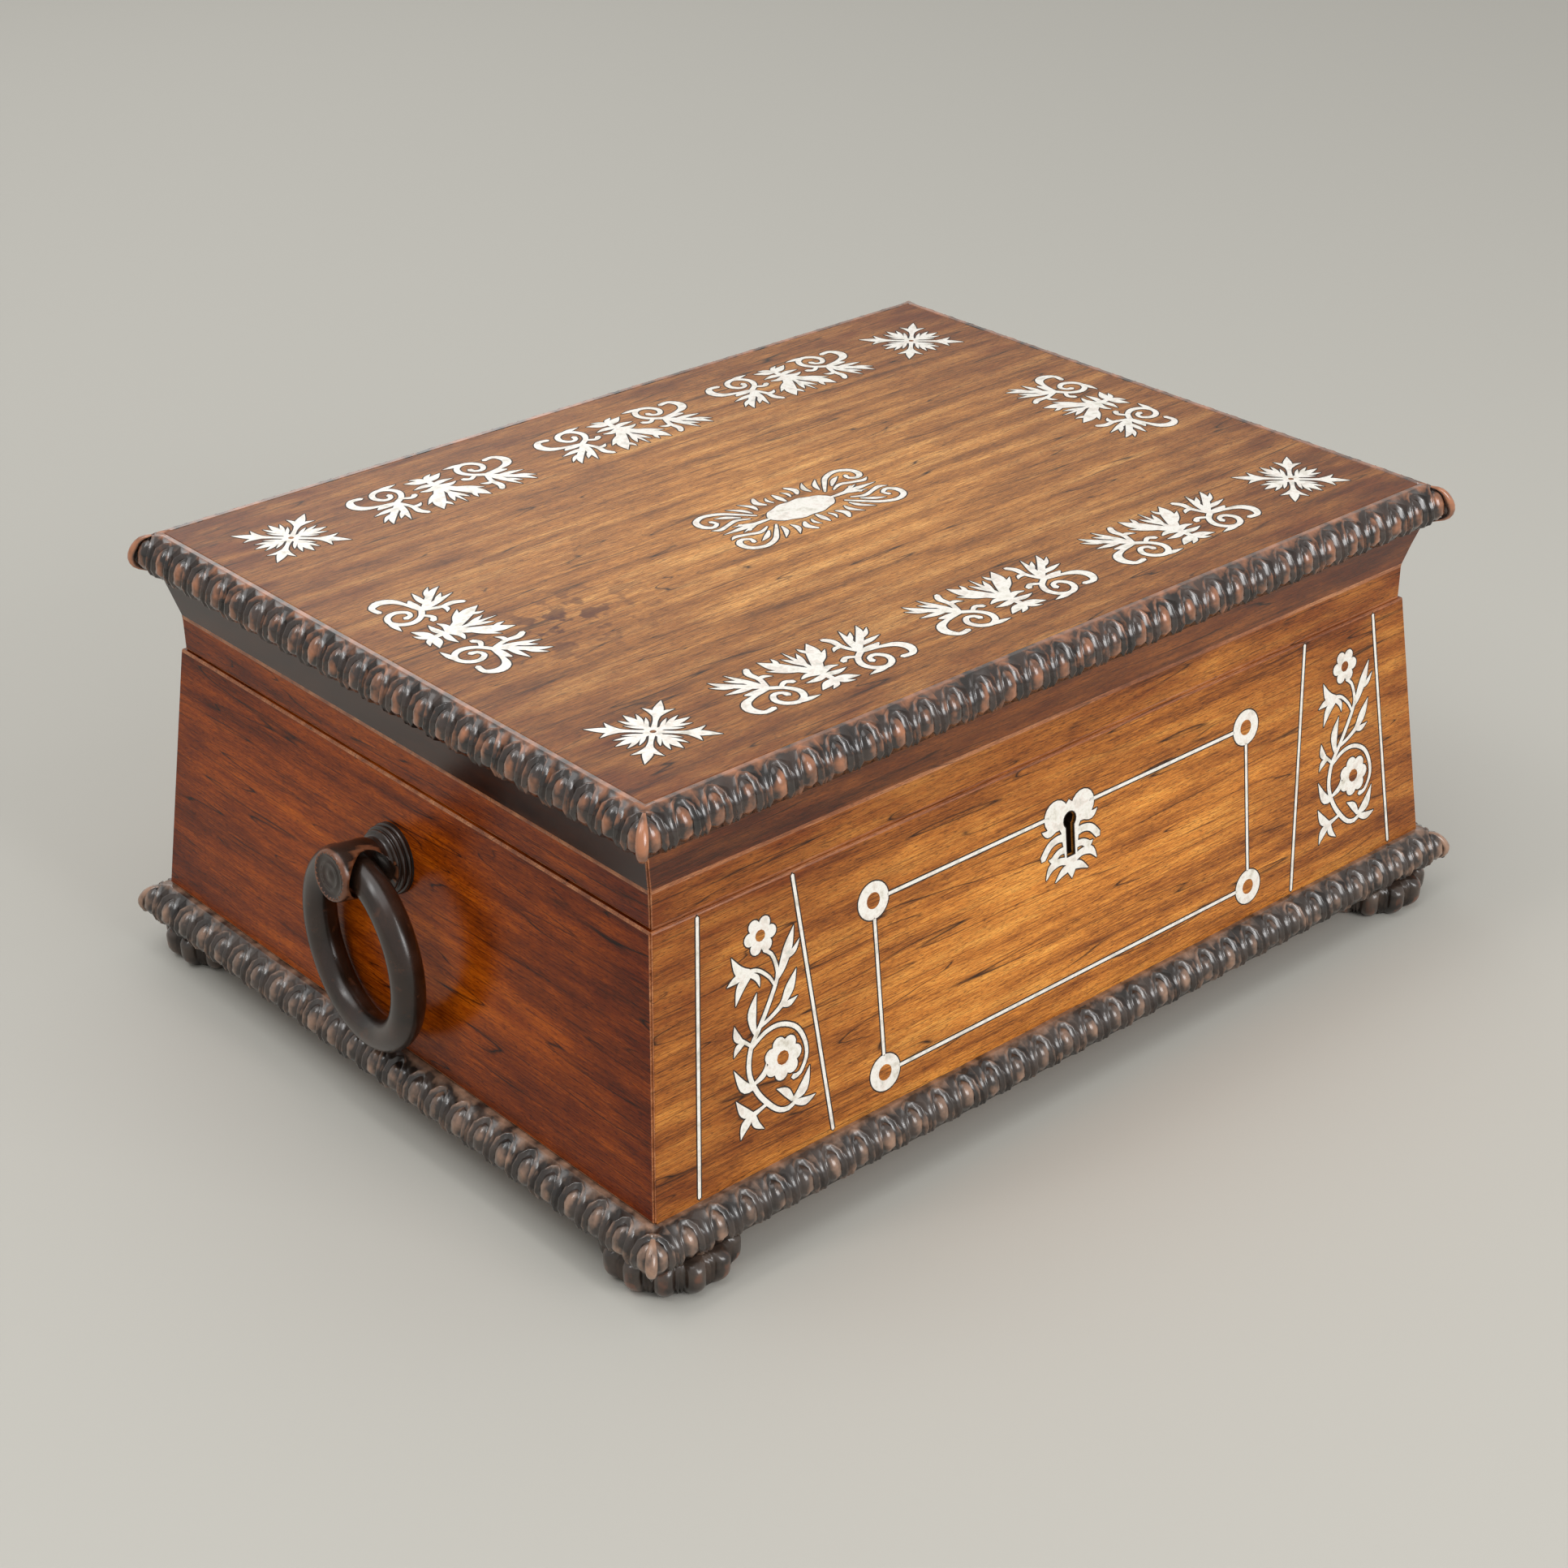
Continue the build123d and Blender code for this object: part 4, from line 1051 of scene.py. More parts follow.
# %% Bosses on the ends of the case
boss_z = rim_z - 23.9 * MM
eye_distance = 12.0 * MM
barrel_radius = 8.1 * MM
face_slope = atan2(foot_reach - rim_reach, rim_z - case_z)
handles = {}
for end, sign in (("left", -1), ("right", 1)):
    axis = Vector((sign * cos(face_slope), 0, sin(face_slope)))
    seat = Vector((sign * (half_length + wall_reach(boss_z)), 0, boss_z))
    eye = seat + axis * eye_distance
    handles[end] = sign, axis, seat, eye
    boss = turned("boss_" + end, boss_section, boss_sides)
    boss.data.transform(stood(seat, axis))
    cutter = turned("eye_" + end, eye_section, eye_sides)
    cutter.data.transform(stood(eye, Vector((0, 1, 0))))
    bore = boss.modifiers.new("bore", "BOOLEAN")
    bore.operation = "DIFFERENCE"
    bore.solver = "EXACT"
    bore.object = cutter
    bpy.context.view_layer.update()
    evaluated = boss.evaluated_get(bpy.context.evaluated_depsgraph_get())
    bored = bpy.data.meshes.new_from_object(evaluated)
    boss.modifiers.remove(bore)
    boss.data = bored
    bpy.data.objects.remove(cutter)
    rubs = []
    for vert in bored.vertices:
        along = (vert.co - seat).dot(axis)
        off_axis = (vert.co - seat - axis * along).length
        to_eye = Vector((vert.co.x - eye.x, vert.co.z - eye.z)).length
        at_eye = abs(off_axis - barrel_radius) < 0.5 * MM and to_eye < 8.0 * MM
        at_rim = along > 20.2 * MM and off_axis > 6.4 * MM
        rubs.append(1.0 if at_eye or at_rim else 0.1)
    bored.attributes["rub"].data.foreach_set("value", rubs)
    bored.materials.clear()
    bored.materials.append(turned_wood)
    settle(boss, "case", "turned_rosewood", "handle_boss_" + end)
    print("boss", end, "eye at", [round(c, 4) for c in eye], "faces", len(bored.polygons))

# %% [markdown]
# The rings are turned too, from one thick disc each, so that the tube is round all the way.
# Each hangs straight down from its eye, and a hand has left it a few degrees round.

# %% Rings
ring_radius = 25.5
ring_tube = 4.85
ring_steps = 28
ring_sides = 112
ring_yaw = radians(6.0)
swings = [2 * pi * k / ring_steps for k in range(ring_steps)]
circle = [(ring_tube * sin(s), ring_radius + ring_tube * cos(s)) for s in swings]
for end, (sign, _, _, eye) in handles.items():
    ring = turned("ring_" + end, circle, ring_sides, closed=True)
    ring_axis = Vector((cos(ring_yaw), sign * sin(ring_yaw), 0))
    ring.data.transform(stood(eye - Vector((0, 0, ring_radius * MM)), ring_axis))
    ring.data.attributes["rub"].data.foreach_set("value", [0.12] * len(ring.data.vertices))
    ring.data.materials.append(turned_wood)
    settle(ring, "ring_" + end, "turned_rosewood", "handle_ring_" + end)
print("rings", round(2 * (ring_radius + ring_tube), 1), "mm across")

# %% [markdown]
# The beads on the rim of each boss are set out on points like the rest of the carving.

# %% Beads on the bosses
bead_count = 26
bead_circle = 6.6 * MM
bead_radius = 0.62 * MM
bead_lift = 20.6 * MM
bead = in_scene("bead", bpy.data.meshes.new("bead"))
work = bmesh.new()
bmesh.ops.create_icosphere(work, subdivisions=1, radius=bead_radius)
write_back(work, bead.data)
bead_rub = bead.data.attributes.new("rub", "FLOAT", "POINT")
bead_rub.data.foreach_set("value", [0.8] * len(bead.data.vertices))
bead_turns = [2 * pi * k / bead_count for k in range(bead_count)]
bead_places = [(bead_circle * cos(t), bead_circle * sin(t), 0) for t in bead_turns]
for end, (_, axis, seat, _) in handles.items():
    beads = set_out(bead, bead_places, "boss_beads_" + end, turned_wood)
    beads.data.transform(stood(seat + axis * bead_lift, axis))
    settle(beads, "case", "turned_rosewood")
bpy.data.objects.remove(bead)
print("beads on each boss", bead_count)

# %% [markdown]
# The inlay is cut from sheets of shell with a fret saw, so each motif is a flat shape drawn
# with strokes that swell and taper, like leaves. A stroke is a list of points, each with the
# width of the leaf there, in millimetres from the middle of the motif.
# A triangulation of all the outlines together tells which triangle lies in which stroke.
# The triangles in any stroke and in no hole are the pearl, as one shape with one outline.

# %% Tools of the inlay cutter
round_end = 0.42


def outline(stroke, grow, bold=1.0):
    """The outline of a tapered stroke; an end is round if it has a width and else pointed."""
    fine = smooth_row([(x, y, w * bold) for x, y, w in stroke], 3 * len(stroke) + 2)
    left, right = [], []
    for i, point in enumerate(fine):
        ahead = fine[min(i + 1, len(fine) - 1)] - fine[max(i - 1, 0)]
        side = Vector((-ahead.y, ahead.x)).normalized() * (max(point.z, 0.0) / 2 + grow)
        left.append(point.to_2d() + side)
        right.append(point.to_2d() - side)
    tip = (fine[-1] - fine[-2]).to_2d().normalized() * (round_end * fine[-1].z + grow)
    root = (fine[0] - fine[1]).to_2d().normalized() * (round_end * fine[0].z + grow)
    return right + [fine[-1].to_2d() + tip] + left[::-1] + [fine[0].to_2d() + root]


def disc(x, y, radius, sides=14):
    """A round outline."""
    turns = [2 * pi * k / sides for k in range(sides)]
    return [Vector((x + radius * cos(turn), y + radius * sin(turn))) for turn in turns]


def cut_shape(outlines, holes):
    """Points and triangles of all that lies in an outline and in no hole."""
    coords, loops = [], []
    for loop in outlines + holes:
        loops.append(list(range(len(coords), len(coords) + len(loop))))
        coords += loop
    points, _, triangles, _, _, owners = delaunay_2d_cdt(coords, [], loops, 0, 1e-6)
    kept = [t for t, o in zip(triangles, owners) if o and max(o) < len(outlines)]
    used = sorted({corner for triangle in kept for corner in triangle})
    number = {corner: k for k, corner in enumerate(used)}
    return [points[corner] for corner in used], [tuple(number[c] for c in t) for t in kept]


def slab(name, shape, top, bottom):
    """A closed flat piece of a shape between two heights; the shape is in millimetres."""
    points, triangles = shape
    count = len(points)
    verts = [(p.x * MM, p.y * MM, height) for height in (top, bottom) for p in points]
    sides = {side for a, b, c in triangles for side in ((a, b), (b, c), (c, a))}
    faces = triangles + [(c + count, b + count, a + count) for a, b, c in triangles]
    faces += [(b, a, a + count, b + count) for a, b in sides if (b, a) not in sides]
    return new_piece(name, verts, faces, smooth_to=0)


def mirrored(strokes):
    """The strokes and their mirror images across the vertical axis."""
    return list(strokes) + [[(-x, y, w) for x, y, w in stroke] for stroke in strokes]


def quarter_turns(strokes):
    """The strokes in each of the four quarters of a turn."""
    return [
        [(x * c - y * s, x * s + y * c, w) for x, y, w in stroke]
        for c, s in ((1, 0), (0, 1), (-1, 0), (0, -1))
        for stroke in strokes
    ]


print("a straight stroke of two points has an outline of", len(outline([(0, 0, 1), (9, 0, 1)], 0)))

# %% [markdown]
# The border scroll has a palmette in the middle and a flower with a looped stalk at each
# side. It is drawn for the right side and mirrored.

# %% Drawings for the top
scroll = mirrored([
    [(0, -9.6, 1.2), (0, -4, 1.5), (0, 0, 1.2), (0, 6, 1.0), (0, 12.4, 0)],
    [(0.2, 3.2, 1.0), (1.5, 6.6, 1.2), (2.7, 9.6, 0)],
    [(0.3, -2.6, 2.0), (3.4, 2.4, 2.6), (6.9, 7.6, 3.0), (8.7, 12.4, 0)],
    [(3.4, 1.2, 1.2), (6.6, 3.6, 1.6), (10.4, 6.6, 0)],
    [(5.9, 7.4, 1.2), (4.8, 9.6, 1.0), (4.6, 11.6, 0)],
    [(0.3, -3.4, 1.6), (3.6, -2.2, 1.5), (6.4, -2.9, 0.3)],
    [(0, -5.0, 1.3), (3.4, -5.8, 1.6), (7.2, -5.4, 0)],
    [(0, -8.6, 1.2), (3.2, -9.6, 2.2), (6.7, -11.4, 0)],
    [(0, -9.0, 1.0), (1.6, -11.2, 1.3), (4.0, -12.6, 0)],
    [(16.5, -0.4, 1.2), (18.3, 5.4, 1.7), (20.4, 12.3, 0)],
    [(18.0, 5.0, 0.9), (20.3, 7.4, 1.2), (22.4, 9.8, 0)],
    [(16.2, 0, 1.2), (14.7, 4.4, 1.2), (14.9, 8.6, 1.6), (13.5, 11.2, 1.2)],
    [(15.2, 4.6, 0.8), (12.8, 5.0, 1.2), (10.8, 3.6, 0)],
    [(16.5, 0, 1.6), (21.2, 4.6, 1.7), (24.6, 8.4, 1.5), (26.3, 11.8, 0)],
    [(21.6, 5.2, 1.0), (25.0, 6.6, 1.2), (27.9, 9.2, 0)],
    [(18.5, 2.2, 1.0), (22.8, 2.6, 1.5), (27.4, 3.4, 0)],
    [(17, -0.8, 1.4), (20.6, -1.0, 2.1), (23.6, -0.2, 0.6)],
    [(17, -1.2, 1.0), (22.6, -2.3, 1.1), (26.6, -4.0, 2.0), (28.1, -7.4, 2.2), (26.3, -10.8, 1.4),
     (22.7, -10.6, 1.3)],
    [(16.4, -1.0, 1.4), (13.0, -3.6, 1.3), (11.3, -7.3, 1.5), (12.5, -10.7, 1.4), (15.6, -12.2, 1.3),
     (18.7, -10.7, 1.4), (19.8, -7.6, 1.4), (18.0, -4.9, 1.2), (15.6, -5.3, 1.1), (14.9, -7.3, 1.5)],
    [(15.4, -12.3, 1.0), (12.4, -12.6, 1.4), (8.7, -12.9, 0)],
    [(13.6, -2.8, 0.9), (10.9, -1.2, 1.2), (8.9, -2.4, 1.4)],
])
rosette = quarter_turns([
    [(0, 0, 2.0), (4.2, 4.2, 1.3), (8.7, 8.6, 2.9), (12.8, 12.4, 0)],
    [(5.6, 5.4, 1.3), (6.7, 8.7, 1.7), (6.2, 12.2, 0)],
    [(5.4, 5.6, 1.3), (8.7, 6.7, 1.7), (12.2, 6.2, 0)],
    [(0, 0, 2.2), (0, 5, 1.7), (0, 8.4, 2.2), (0, 12.2, 0)],
    [(0, 4.4, 1.2), (1.8, 7.6, 1.3), (2.9, 10.6, 0)],
    [(0, 4.4, 1.2), (-1.8, 7.6, 1.3), (-2.9, 10.6, 0)],
    [(0, 2.6, 1.0), (2.1, 5.2, 1.1), (3.6, 7.4, 0)],
    [(0, 2.6, 1.0), (-2.1, 5.2, 1.1), (-3.6, 7.4, 0)],
])
volute = [
    [(13.6, 4.4, 0.6), (17.2, 8.6, 1.2), (21.0, 12.4, 1.5), (26.0, 14.2, 1.5), (30.2, 12.4, 1.7),
     (31.0, 8.6, 1.9), (28.8, 6.2, 1.4), (26.2, 7.6, 1.2), (26.8, 9.8, 1.3)],
    [(16.6, 3.8, 0.5), (20.6, 5.6, 1.3), (24.8, 4.4, 1.2), (28.4, 3.4, 1.4), (30.8, 4.6, 0)],
    [(18.2, 6.4, 0.5), (21.4, 9.2, 1.5), (24.6, 10.8, 0)],
    [(13.4, 6.6, 0.4), (14.6, 10.0, 1.4), (17.8, 13.6, 0)],
    [(10.6, 7.4, 0.4), (10.4, 10.4, 1.5), (12.8, 14.2, 0)],
    [(6.2, 8.6, 0.8), (7.6, 11.4, 1.9), (6.2, 14.6, 0.8)],
    [(3.4, 8.4, 0.4), (4.0, 10.6, 1.0), (3.0, 12.8, 0)],
    [(21.6, 2.2, 1.2), (22.2, 2.0, 1.2)],
]
cartouche = mirrored(volute + [[(x, -y, w) for x, y, w in stroke] for stroke in volute] + [
    [(0, 6.8, 0.8), (0, 10.0, 1.8), (0, 13.0, 0.4)],
    [(0, -6.8, 0.8), (0, -10.0, 1.8), (0, -13.0, 0.4)],
    [(12.2, 0, 0.9), (17.0, 0, 1.5), (22.6, 0, 1.9), (30.0, 0, 0)],
    [(18.0, 0.4, 0.8), (20.8, 1.4, 1.1), (24.4, 2.6, 0)],
    [(18.0, -0.4, 0.8), (20.8, -1.4, 1.1), (24.4, -2.6, 0)],
])
oval = [
    Vector((12.4 * cos(t), 6.1 * sin(t) * (1 + 0.05 * cos(10 * t))))
    for t in (2 * pi * k / 48 for k in range(48))
]
print("strokes: scroll", len(scroll), "rosette", len(rosette), "cartouche", len(cartouche))

# %% [markdown]
# On the front, a spray of flowers climbs in each outer panel. Its stem is an S with three
# flowers on it. The keyhole plate is a pair of lobes over curling leaves.

# %% Drawings for the front


def flower(x, y, radius, petals, hole):
    """Petals round a centre, as the outlines of discs, and the hole in the middle."""
    middles = disc(x, y, 0.66 * radius, petals)
    ring = [disc(middle.x, middle.y, 0.35 * radius) for middle in middles]
    return ring + [disc(x, y, 0.6 * radius)], disc(x, y, hole, 10)


spray = [
    [(4.0, 20.4, 0.9), (6.6, 18.0, 0.9), (7.9, 12.8, 1.0), (6.9, 9.4, 1.1), (3.4, 3.6, 1.2),
     (0.2, -1.0, 1.2), (-3.2, -5.8, 1.3), (-4.4, -12.4, 1.3), (-2.4, -18.8, 1.3), (1.2, -24.0, 1.3),
     (4.6, -27.2, 1.2), (8.0, -28.0, 1.2), (10.6, -26.8, 1.0)],
    [(7.6, 10.6, 0.8), (9.6, 13.4, 2.1), (12.2, 18.4, 2.5), (14.6, 23.6, 0)],
    [(11.6, 15.4, 0.8), (14.0, 16.6, 1.4), (16.2, 19.2, 0)],
    [(6.4, 9.6, 0.7), (4.8, 12.4, 0.8), (1.2, 15.6, 0.9), (-3.0, 16.2, 1.4)],
    [(-1.4, 16.2, 1.4), (-4.6, 17.4, 2.6), (-6.9, 22.3, 0)],
    [(-1.2, 15.4, 1.4), (-4.6, 13.0, 2.4), (-6.9, 8.2, 0)],
    [(-0.8, 15.0, 1.2), (1.0, 13.4, 1.4), (1.6, 10.6, 0)],
    [(-2.6, 16.0, 1.6), (-6.2, 15.6, 1.8), (-9.2, 14.6, 0)],
    [(0.8, -0.6, 0.9), (4.4, 0.6, 1.0), (8.6, 2.9, 1.4), (11.6, 6.6, 2.6), (14.3, 11.2, 0)],
    [(8.4, 2.6, 0.8), (11.0, 2.2, 1.6), (14.0, 3.2, 0)],
    [(-0.9, -2.8, 0.8), (-1.8, 0.8, 1.9), (-1.6, 4.6, 2.4), (0.4, 9.4, 0)],
    [(-2.8, -5.0, 0.8), (-5.4, -2.6, 0.9), (-6.4, -1.8, 1.0)],
    [(-5.6, -2.6, 0.8), (-7.4, -0.6, 1.9), (-7.9, 2.8, 0)],
    [(-5.2, -3.0, 0.8), (-7.4, -3.8, 1.7), (-9.0, -6.0, 0)],
    [(-2.6, -5.4, 1.0), (2.2, -2.9, 1.1), (7.4, -2.7, 1.1), (12.4, -5.4, 1.1), (15.0, -10.0, 1.1),
     (15.4, -15.0, 1.0), (12.8, -19.2, 1.0), (10.2, -19.6, 1.4)],
    [(-2.8, -17.0, 1.0), (-6.4, -15.8, 2.6), (-9.4, -9.6, 0)],
    [(-3.0, -16.2, 0.8), (0.6, -14.6, 1.6), (1.6, -11.6, 0)],
    [(0.8, -23.6, 0.9), (-2.0, -24.4, 1.0), (-5.4, -25.2, 1.8)],
    [(-4.6, -24.8, 1.4), (-7.4, -22.8, 2.4), (-9.6, -18.6, 0)],
    [(-4.6, -25.2, 1.4), (-7.4, -27.0, 2.4), (-9.2, -30.4, 0)],
    [(-4.2, -25.4, 1.4), (-3.6, -28.0, 1.8), (-1.0, -30.5, 0)],
    [(9.4, -26.2, 1.0), (7.4, -23.0, 2.0), (4.2, -20.8, 0)],
    [(9.8, -26.2, 1.0), (13.4, -24.2, 2.8), (16.2, -18.6, 0)],
    [(9.8, -27.0, 1.0), (13.6, -28.4, 2.0), (17.4, -27.8, 0)],
]
top_flower, top_flower_hole = flower(3.2, 24.9, 5.4, 6, 1.7)
large_flower, large_flower_hole = flower(7.3, -12.6, 6.4, 7, 2.1)
keyhole_plate = mirrored([
    [(0, 9.0, 5.2), (0, 2.0, 5.4), (0, -4.0, 4.0), (0, -9.0, 3.2), (0, -12.6, 0)],
    [(1.2, 4.6, 2.0), (5.0, 5.4, 2.2), (8.6, 4.2, 1.9), (11.2, 5.4, 0)],
    [(1.6, 0.6, 2.0), (5.0, 1.2, 1.7), (8.4, 0.2, 1.7), (11.2, -2.8, 1.7)],
    [(1.6, -3.0, 1.6), (4.6, -3.0, 1.5), (7.2, -4.4, 1.6), (9.0, -3.8, 0)],
    [(0.6, -7.4, 1.6), (4.2, -6.0, 1.7), (8.0, -6.6, 1.8), (10.2, -9.6, 0.2)],
    [(0.6, -9.0, 1.6), (3.2, -9.4, 1.8), (6.6, -11.6, 0.2)],
])
plate_lobes = [disc(-5.3, 8.4, 4.7, 18), disc(5.3, 8.4, 4.7, 18), disc(0, 5.6, 4.6, 18)]
print("strokes: spray", len(spray), "keyhole plate", len(keyhole_plate))

# %% [markdown]
# Each motif is made twice: once in pearl and once, a little wider and a hair lower, in the
# dark glue that fills the gap round it. The top's motifs stand in the plane of the panel. The
# front's are drawn from the rim of the case, and one matrix leans them on its slope.

# %% Let the motifs into the wood
glue_grow = 0.4
bold = {
    "border_scrolls": 1.3, "cartouche": 1.1, "spray_left": 1.15, "spray_right": 1.15,
    "keyhole_plate": 1.3,
}
sheet_depth = 0.3 * MM
glue_stands = 0.035 * MM
top_ground = top_z - pearl_stands


def grown_loop(loop, grow):
    """A loop with each of its points moved out from its middle."""
    middle = sum(loop, Vector((0, 0))) / len(loop)
    return [p + (p - middle).normalized() * grow for p in loop]


def inlay(name, strokes, places, body, nodes, extra=(), holes=(), glue_holes=None,
          ground=top_ground, lean=None):
    """Pearl and glue of one drawing at its places; extra loops and holes go with the strokes."""
    for finish, grow, stands in ((pearl, 0.0, pearl_stands), (glue, glue_grow, glue_stands)):
        outlines = [outline(s, grow, bold.get(name, 1.0)) for s in strokes] + list(extra)
        if grow:
            outlines += [grown_loop(loop, grow) for loop in extra]
        sawn = glue_holes if finish is glue and glue_holes else holes
        shape = cut_shape(outlines, list(sawn))
        label = name + "_" + finish.name
        cut = slab(label, shape, ground + stands, ground - sheet_depth)
        piece = set_out(cut, places, label, finish)
        bpy.data.objects.remove(cut)
        if lean:
            piece.data.transform(lean)
        if finish is pearl:
            settle(piece, body, "mother_of_pearl", *nodes)
            print(name, len(places), "places", len(piece.data.polygons), "faces of pearl")
        else:
            settle(piece, body, "rosewood")


border_x, border_y, border_pitch = 124.3 * MM, 83 * MM, 70 * MM
scroll_places = [(k * border_pitch, -border_y, 0) for k in (-1, 0, 1)]
scroll_places += [(k * border_pitch, border_y, 180) for k in (-1, 0, 1)]
scroll_places += [(-border_x, 0, -90), (border_x, 0, 90)]
rosette_places = [(x, y, 0) for x in (-border_x, border_x) for y in (-border_y, border_y)]
rosette_eye = disc(0, 0, 0.9, 10)
middle = [(0, 0, 0)]
inlay("border_scrolls", scroll, scroll_places, "lid", ["top_scrolls"])
inlay("corner_rosettes", rosette, rosette_places, "lid", ["top_rosettes"], holes=[rosette_eye])
inlay("cartouche", cartouche, middle, "lid", ["top_cartouche", "top_oval"], extra=[oval])

# %% [markdown]
# The front is veneered in one sheet, with the keyhole sawn through it. All its drawings are
# in millimetres, with x from the middle of the front and y up its slope from the rim.

# %% The front's slope and its veneer
face_height = hypot(foot_reach - rim_reach, rim_z - case_z) / MM
face_lean = Matrix((
    (1, 0, 0, 0),
    (0, sin(face_slope), -cos(face_slope), -(half_width + rim_reach)),
    (0, cos(face_slope), sin(face_slope), rim_z),
    (0, 0, 0, 1),
))
keyhole_y, keyhole_foot = -21.9, -32.9
keyhole_radius, slot_half = 2.35, 1.45
sheet_inset = 0.8
veneer_stands = 0.05 * MM


def keyhole_shape(centre_y=0.0, rim=0.0):
    """The keyhole's round and its slot, wider by the rim, in a drawing centred at centre_y."""
    half = slot_half + rim
    top, foot = keyhole_y - centre_y, keyhole_foot - centre_y - rim
    slot = [Vector(corner) for corner in ((-half, top), (-half, foot), (half, foot), (half, top))]
    return [disc(0, top, keyhole_radius + rim, 16), slot]


rim_half = (half_length + rim_reach) / MM - sheet_inset
foot_half = (half_length + foot_reach) / MM - sheet_inset
sheet = [
    Vector((-rim_half, -sheet_inset)), Vector((-foot_half, -face_height)),
    Vector((foot_half, -face_height)), Vector((rim_half, -sheet_inset)),
]
sheet_shape = cut_shape([sheet], keyhole_shape())
veneer = slab("front_veneer", sheet_shape, veneer_stands, -veneer_stands)
veneer.data.transform(face_lean)
veneer.data.materials.append(front_wood)
settle(veneer, "case", "rosewood")
print("front veneer", round(2 * foot_half, 1), "by", round(face_height, 1), "mm")

# %% [markdown]
# The strings between the roundels are a millimetre wide, and the outer pairs follow the taper
# of the panel. They stop short of the roundels and of the keyhole plate.

# %% The front's strings and motifs
string_top, string_foot = -1.2, -(face_height - 1.2)
outer_string, inner_string = (134, 142), (102, 95)
roundel_x, roundel_high, roundel_low, roundel_reach = 75.0, -18.8, -(face_height - 10.0), 5.4
plate_reach = 8.4
upper_end, lower_end = roundel_high - roundel_reach, roundel_low + roundel_reach
inner_end = roundel_x - roundel_reach
strings = [[(-inner_end, roundel_low, 1), (inner_end, roundel_low, 1)]]
for side in (-1, 1):
    strings += [
        [(side * at_top, string_top, 1), (side * at_foot, string_foot, 1)]
        for at_top, at_foot in (outer_string, inner_string)
    ]
    strings.append([(side * roundel_x, upper_end, 1), (side * roundel_x, lower_end, 1)])
    strings.append([(side * inner_end, roundel_high, 1), (side * plate_reach, roundel_high, 1)])
roundel_heights = (roundel_high, roundel_low)
roundel_places = [(x * MM, y * MM, 0) for x in (-roundel_x, roundel_x) for y in roundel_heights]
spray_x, spray_y, plate_y = 117.5, -38.8, -27.5
pearl_keyhole_rim = 0.35
on_face = {"ground": veneer_stands, "lean": face_lean}
inlay("strings", strings, middle, "case", ["front_strings"], **on_face)
inlay("roundels", [], roundel_places, "case", ["front_roundels"],
      extra=[disc(0, 0, 5.5, 28)], holes=[disc(0, 0, 2.4, 18)], **on_face)
for end, side in (("left", -1), ("right", 1)):
    spray_place = [(side * spray_x * MM, spray_y * MM, 0)]
    inlay("spray_" + end, spray, spray_place, "case", ["front_spray_" + end],
          extra=top_flower + large_flower, holes=[top_flower_hole, large_flower_hole], **on_face)
inlay("keyhole_plate", keyhole_plate, [(0, plate_y * MM, 0)], "case", ["escutcheon"],
      extra=plate_lobes, holes=keyhole_shape(plate_y, pearl_keyhole_rim),
      glue_holes=keyhole_shape(plate_y), **on_face)
print("strings", len(strings), "roundels", len(roundel_places))

# %% [markdown]
# The sides of the keyhole are given the dark glue as painted shade, so that it reads as a hole.

# %% The dark keyhole
front_wall = bpy.data.objects["case_wall_front"]
front_wall.data.materials.append(glue)
hole_half, hole_top, hole_foot = 3 * MM, rim_z - 15 * MM, rim_z - 36 * MM
painted_shade_faces = [
    face for face in front_wall.data.polygons
    if abs(face.center.x) < hole_half and abs(face.normal.y) < 0.5
    and hole_foot < face.center.z < hole_top
]
# These faces take the dark glue as painted shade inside the hole.
for face in painted_shade_faces:
    face.material_index = 2
print("dark faces in the keyhole", len(painted_shade_faces))

# %% [markdown]
# Under the lid lies a panel of ruched silk, gathered from its edges to a button in the
# middle, as workboxes of the time had. In the tray a pincushion is covered with the same
# silk. Both are soft.

# %% A padded block
pad_steps = (150, 110)
edge_crowding = 0.35


def padded_box(name, low, high, sign, height):
    """A soft block; height(x, y) lifts its face on the side of sign, and its back is flat."""
    steps_x, steps_y = pad_steps
    middle, half = (low + high) / 2, (high - low) / 2
    verts, faces = [], []
    for j in range(steps_y + 1):
        for i in range(steps_x + 1):
            x, y = 2 * i / steps_x - 1, 2 * j / steps_y - 1
            x += edge_crowding * (sin(x * pi / 2) - x)
            y += edge_crowding * (sin(y * pi / 2) - y)
            z = middle.z + sign * (2 * height(x, y) - 1) * half.z
            verts.append((middle.x + x * half.x, middle.y + y * half.y, z))
    row = steps_x + 1
    for j in range(steps_y):
        for i in range(steps_x):
            a = j * row + i
            faces.append((a, a + 1, a + row + 1, a + row))
    rim = list(range(row)) + [j * row + steps_x for j in range(1, steps_y + 1)]
    rim += [steps_y * row + i for i in reversed(range(steps_x))]
    rim += [j * row for j in reversed(range(1, steps_y))]
    base = len(verts)
    verts += [(verts[i][0], verts[i][1], middle.z - sign * half.z) for i in rim]
    for k, corner in enumerate(rim):
        n = (k + 1) % len(rim)
        faces.append((corner, rim[n], base + n, base + k))
    faces.append(tuple(range(base, base + len(rim))))
    piece = new_piece(name, verts, faces)
    piece.data.materials.append(silk)
    return piece


print("squares on a padded face", pad_steps[0] * pad_steps[1])

# %% [markdown]
# The pleats run to the button like the spokes of a wheel, a little unevenly, and flatten
# where the edge of the panel is turned under.

# %% Ruched silk in the lid
pleats = 44
pad_low, pad_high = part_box("lid_pad")
pad_ratio = (pad_high.y - pad_low.y) / (pad_high.x - pad_low.x)
button_reach, button_height = 0.055, 0.95


